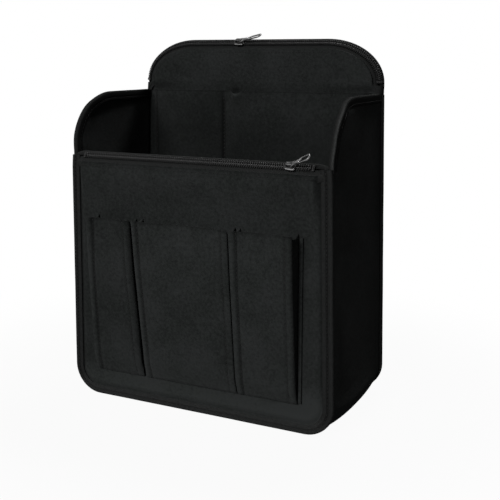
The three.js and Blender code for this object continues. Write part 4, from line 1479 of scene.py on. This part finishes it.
# %% Sliders
PLATE_LOW, PLATE_HIGH, PIN_HEIGHT = 1.9, 3.1, 3.95
NOSE, HALF, END = 2.1, 3.5, 4.5
SHOULDER = END - (HALF - NOSE)


def slider_parts():
    """The slider's parts, each with its share of painted shade."""
    outline = bend((-END, -NOSE), (-SHOULDER, -HALF), (0, -HALF))
    outline += bend((SHOULDER, -HALF), (END, -HALF), (END, -NOSE))
    outline += mirrored(outline)
    raised = [p * 0.8 for p in outline]
    parts = [
        (shifted(plate([outline], 1.2, 0.32), dz=(PLATE_LOW + PLATE_HIGH) / 2), 0.75),
        (shifted(plate([raised], 0.5, 0.2), dz=PLATE_HIGH + 0.02), 0.85),
        (boxed(8.4, 6.0, 1.2, 0.8, 0.25, (0.5, 0, -1.3)), 0.5),
    ]
    for side, painted_shade_share in ((-1, 0.0), (1, 0.5)):
        rail = boxed(4.6, 0.7, 0.3, 1.8, 0.2, (0.9, side * 3.2, 1.6))
        lip = boxed(7.0, 1.0, 0.45, 0.5, 0.2, (0.2, side * 2.7, PLATE_HIGH + 0.1))
        parts += [(rail, 0.4), (lip, painted_shade_share)]
    bridge = rounded([(-2.7, 2.7), (-2.7, 5.3), (2.7, 5.3), (2.7, 2.7)], 1.5, 6)
    stations = []
    for i, p in enumerate(bridge):
        way = way_at(bridge, i)
        stations.append((Vector((p.x, 0, p.y)), Vector((-way.y, 0, way.x)), AXIS_Y))
    points, faces, _ = sweep(stations, round_box(1.0, 1.6, 0.3))
    return parts + [((points, faces), 0.65)]


# %% Pulls
def pull_parts():
    """A fork round the pin, a stem and a ring."""
    yoke, stem, ring, arm_in, arm_out, half_stem = 4.0, 12.0, 22.9, 1.1, 2.0, 1.5
    half, hole = 3.1, 1.9
    side = [Vector((-0.55, -arm_in)), Vector((-0.55, -arm_out))]
    side += bend((yoke, -arm_out), (yoke + arm_out, -half_stem), (stem - half, -half_stem))
    side += bend((stem - half, -half_stem), (stem, -half_stem), (stem + half / 2, -half))[1:]
    fork = [Vector((yoke, arm_in)), Vector((yoke, -arm_in))]
    outline = side + arc(ring, 0, half, -QUARTER, QUARTER, 18) + mirrored(side) + fork
    window = arc(ring, 0, hole, -QUARTER, QUARTER) + arc(stem + half, 0, hole, QUARTER, 3 * QUARTER)
    pin = tube([AXIS_Y * y for y in (-1.5, -1.2, 1.2, 1.5)], [0.45, 0.55, 0.55, 0.45], 12)
    rib = boxed(5.4, 1.5, 0.6, 0.5, 0.2, (8.2, 0, 0.5))
    return gathered([plate([outline, window], 1.1, 0.3), pin, rib])


def twisted(part, angle):
    """The same part with its far end turned about its long axis."""
    points = []
    for along, across, up in part[0]:
        a = angle * smooth((along - 4) / 9)
        points.append(Vector((along, across * math.cos(a) + up * math.sin(a),
                              up * math.cos(a) - across * math.sin(a))))
    return points, part[1]


def zip_hardware(prefix, x, ridge_y, ridge_z, lift, twist):
    """Slider and pull of one zip at rest, with the pull's lift and twist in degrees."""
    lift, twist = math.radians(lift), math.radians(twist)
    origin = Vector((x, ridge_y - SLOPE_HALF * math.sin(SLOPE), ridge_z - SLOPE_HALF * math.cos(SLOPE)))
    up = Vector((0, math.sin(SLOPE), math.cos(SLOPE)))
    outward = Vector((0, -math.cos(SLOPE), math.sin(SLOPE)))
    slider, pull = slider_parts(), pull_parts()
    points, faces = placed(gathered([part for part, _ in slider]), origin, (AXIS_X, up, outward))
    painted_metal_shade = [painted_shade_share for part, painted_shade_share in slider for _ in part[0]]
    piece(f"{prefix}_slider_cast", points, faces, METAL, [f"{prefix}_slider"],
          f"{prefix}_slider", 40, seams_and_painted_light=painted_metal_shade)
    axes = (AXIS_X * math.cos(lift) + outward * math.sin(lift), up,
            outward * math.cos(lift) - AXIS_X * math.sin(lift))
    points, faces = placed(twisted(pull, twist), origin + outward * PIN_HEIGHT, axes)
    # The pull gets painted shade near its pin.
    painted_metal_shade = [0.8 * (1 - smooth((p[0] - 2.2) / 1.8)) for p in pull[0]]
    piece(f"{prefix}_pull_tab", points, faces, METAL, [f"{prefix}_pull"],
          f"{prefix}_pull", 40, seams_and_painted_light=painted_metal_shade)
    low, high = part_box(f"{prefix}_pull")
    print(prefix, "pull from", [round(v * 1000, 1) for v in low], "to", [round(v * 1000, 1) for v in high])


zip_hardware("front_zip", 83.0, FRONT_RIDGE, FRONT_TOP, 36, 12)
zip_hardware("back_zip", -17.0, BACK_RIDGE, BACK_TOP, 18, 28)

# %% [markdown]
# ## Stage and light
# The picture has a white ground and one broad, soft light from the front and above. Its side wall is
# several times darker than its front, so there is little light from the right. A large area lamp does the
# front, a small one lights the back wall's top edge, and the world gives a weak even fill. The world is
# white only where the camera or a reflection sees it, so the metal shines and the felt stays black. The
# floor does the same, and fades to plain white away from the object.

# %% Floor
FLOOR_REACH, FLOOR_DROP = 4, 0.0003


def seen(finish):
    """One for what the camera, a reflection or a clear surface sees, and nothing for light that fills."""
    camera_ray, glossy, clear = (finish.node("ShaderNodeLightPath", out=name)
                                 for name in ("Is Camera Ray", "Is Glossy Ray", "Is Transmission Ray"))
    return camera_ray.math("MAXIMUM", glossy).math("MAXIMUM", clear)


floor = Finish(bpy.data.materials.new("studio_floor"))
distance = floor.node("ShaderNodeVectorMath", {"operation": "LENGTH"}, {0: floor.place()}, out="Value")
white = distance.between(0.16, 0.42) * 0.05 + 0.95
paper = floor.node("ShaderNodeBsdfDiffuse", {}, {"Color": grey(0.2)})
glow = floor.node("ShaderNodeEmission", {}, {"Color": grey(1), "Strength": 1.0})
floor.output(floor.node("ShaderNodeMixShader", {}, {0: seen(floor) * white, 1: paper, 2: glow}))
corners = [(x * FLOOR_REACH, y * FLOOR_REACH, -FLOOR_DROP) for x, y in ((-1, -1), (1, -1), (1, 1), (-1, 1))]
floor_mesh = bpy.data.meshes.new("studio_floor")
floor_mesh.from_pydata(corners, [], [(0, 1, 2, 3)])
floor_mesh.materials.append(floor.owner)
studio_floor = bpy.data.objects.new("studio_floor", floor_mesh)
scene.collection.objects.link(studio_floor)
print("floor", 2 * FLOOR_REACH, "m wide")

# %% World and lamps
FILL = 0.055
sky = Finish(bpy.data.worlds.new("studio_world"))
fill, ground = (sky.node("ShaderNodeBackground", {}, {"Color": grey(1), "Strength": strength})
                for strength in (FILL, 1.0))
sky.output(sky.node("ShaderNodeMixShader", {}, {0: seen(sky), 1: fill, 2: ground}), "ShaderNodeOutputWorld")
scene.world = sky.owner


def lamp(name, place, target, size, watts):
    data = bpy.data.lights.new(name, "AREA")
    data.shape = "DISK"
    data.size = size
    data.energy = watts
    light = bpy.data.objects.new(name, data)
    light.location = place
    light.rotation_euler = (Vector(target) - Vector(place)).to_track_quat("-Z", "Y").to_euler()
    scene.collection.objects.link(light)


lamp("front_softbox", (-0.3, -2.0, 1.15), (0, 0, 0.14), 1.3, 54)
lamp("top_softbox", (0.05, 0.62, 1.3), (0, 0, 0.15), 0.3, 20)
scene.view_settings.view_transform = "Standard"
print("two soft lamps and a weak white world")
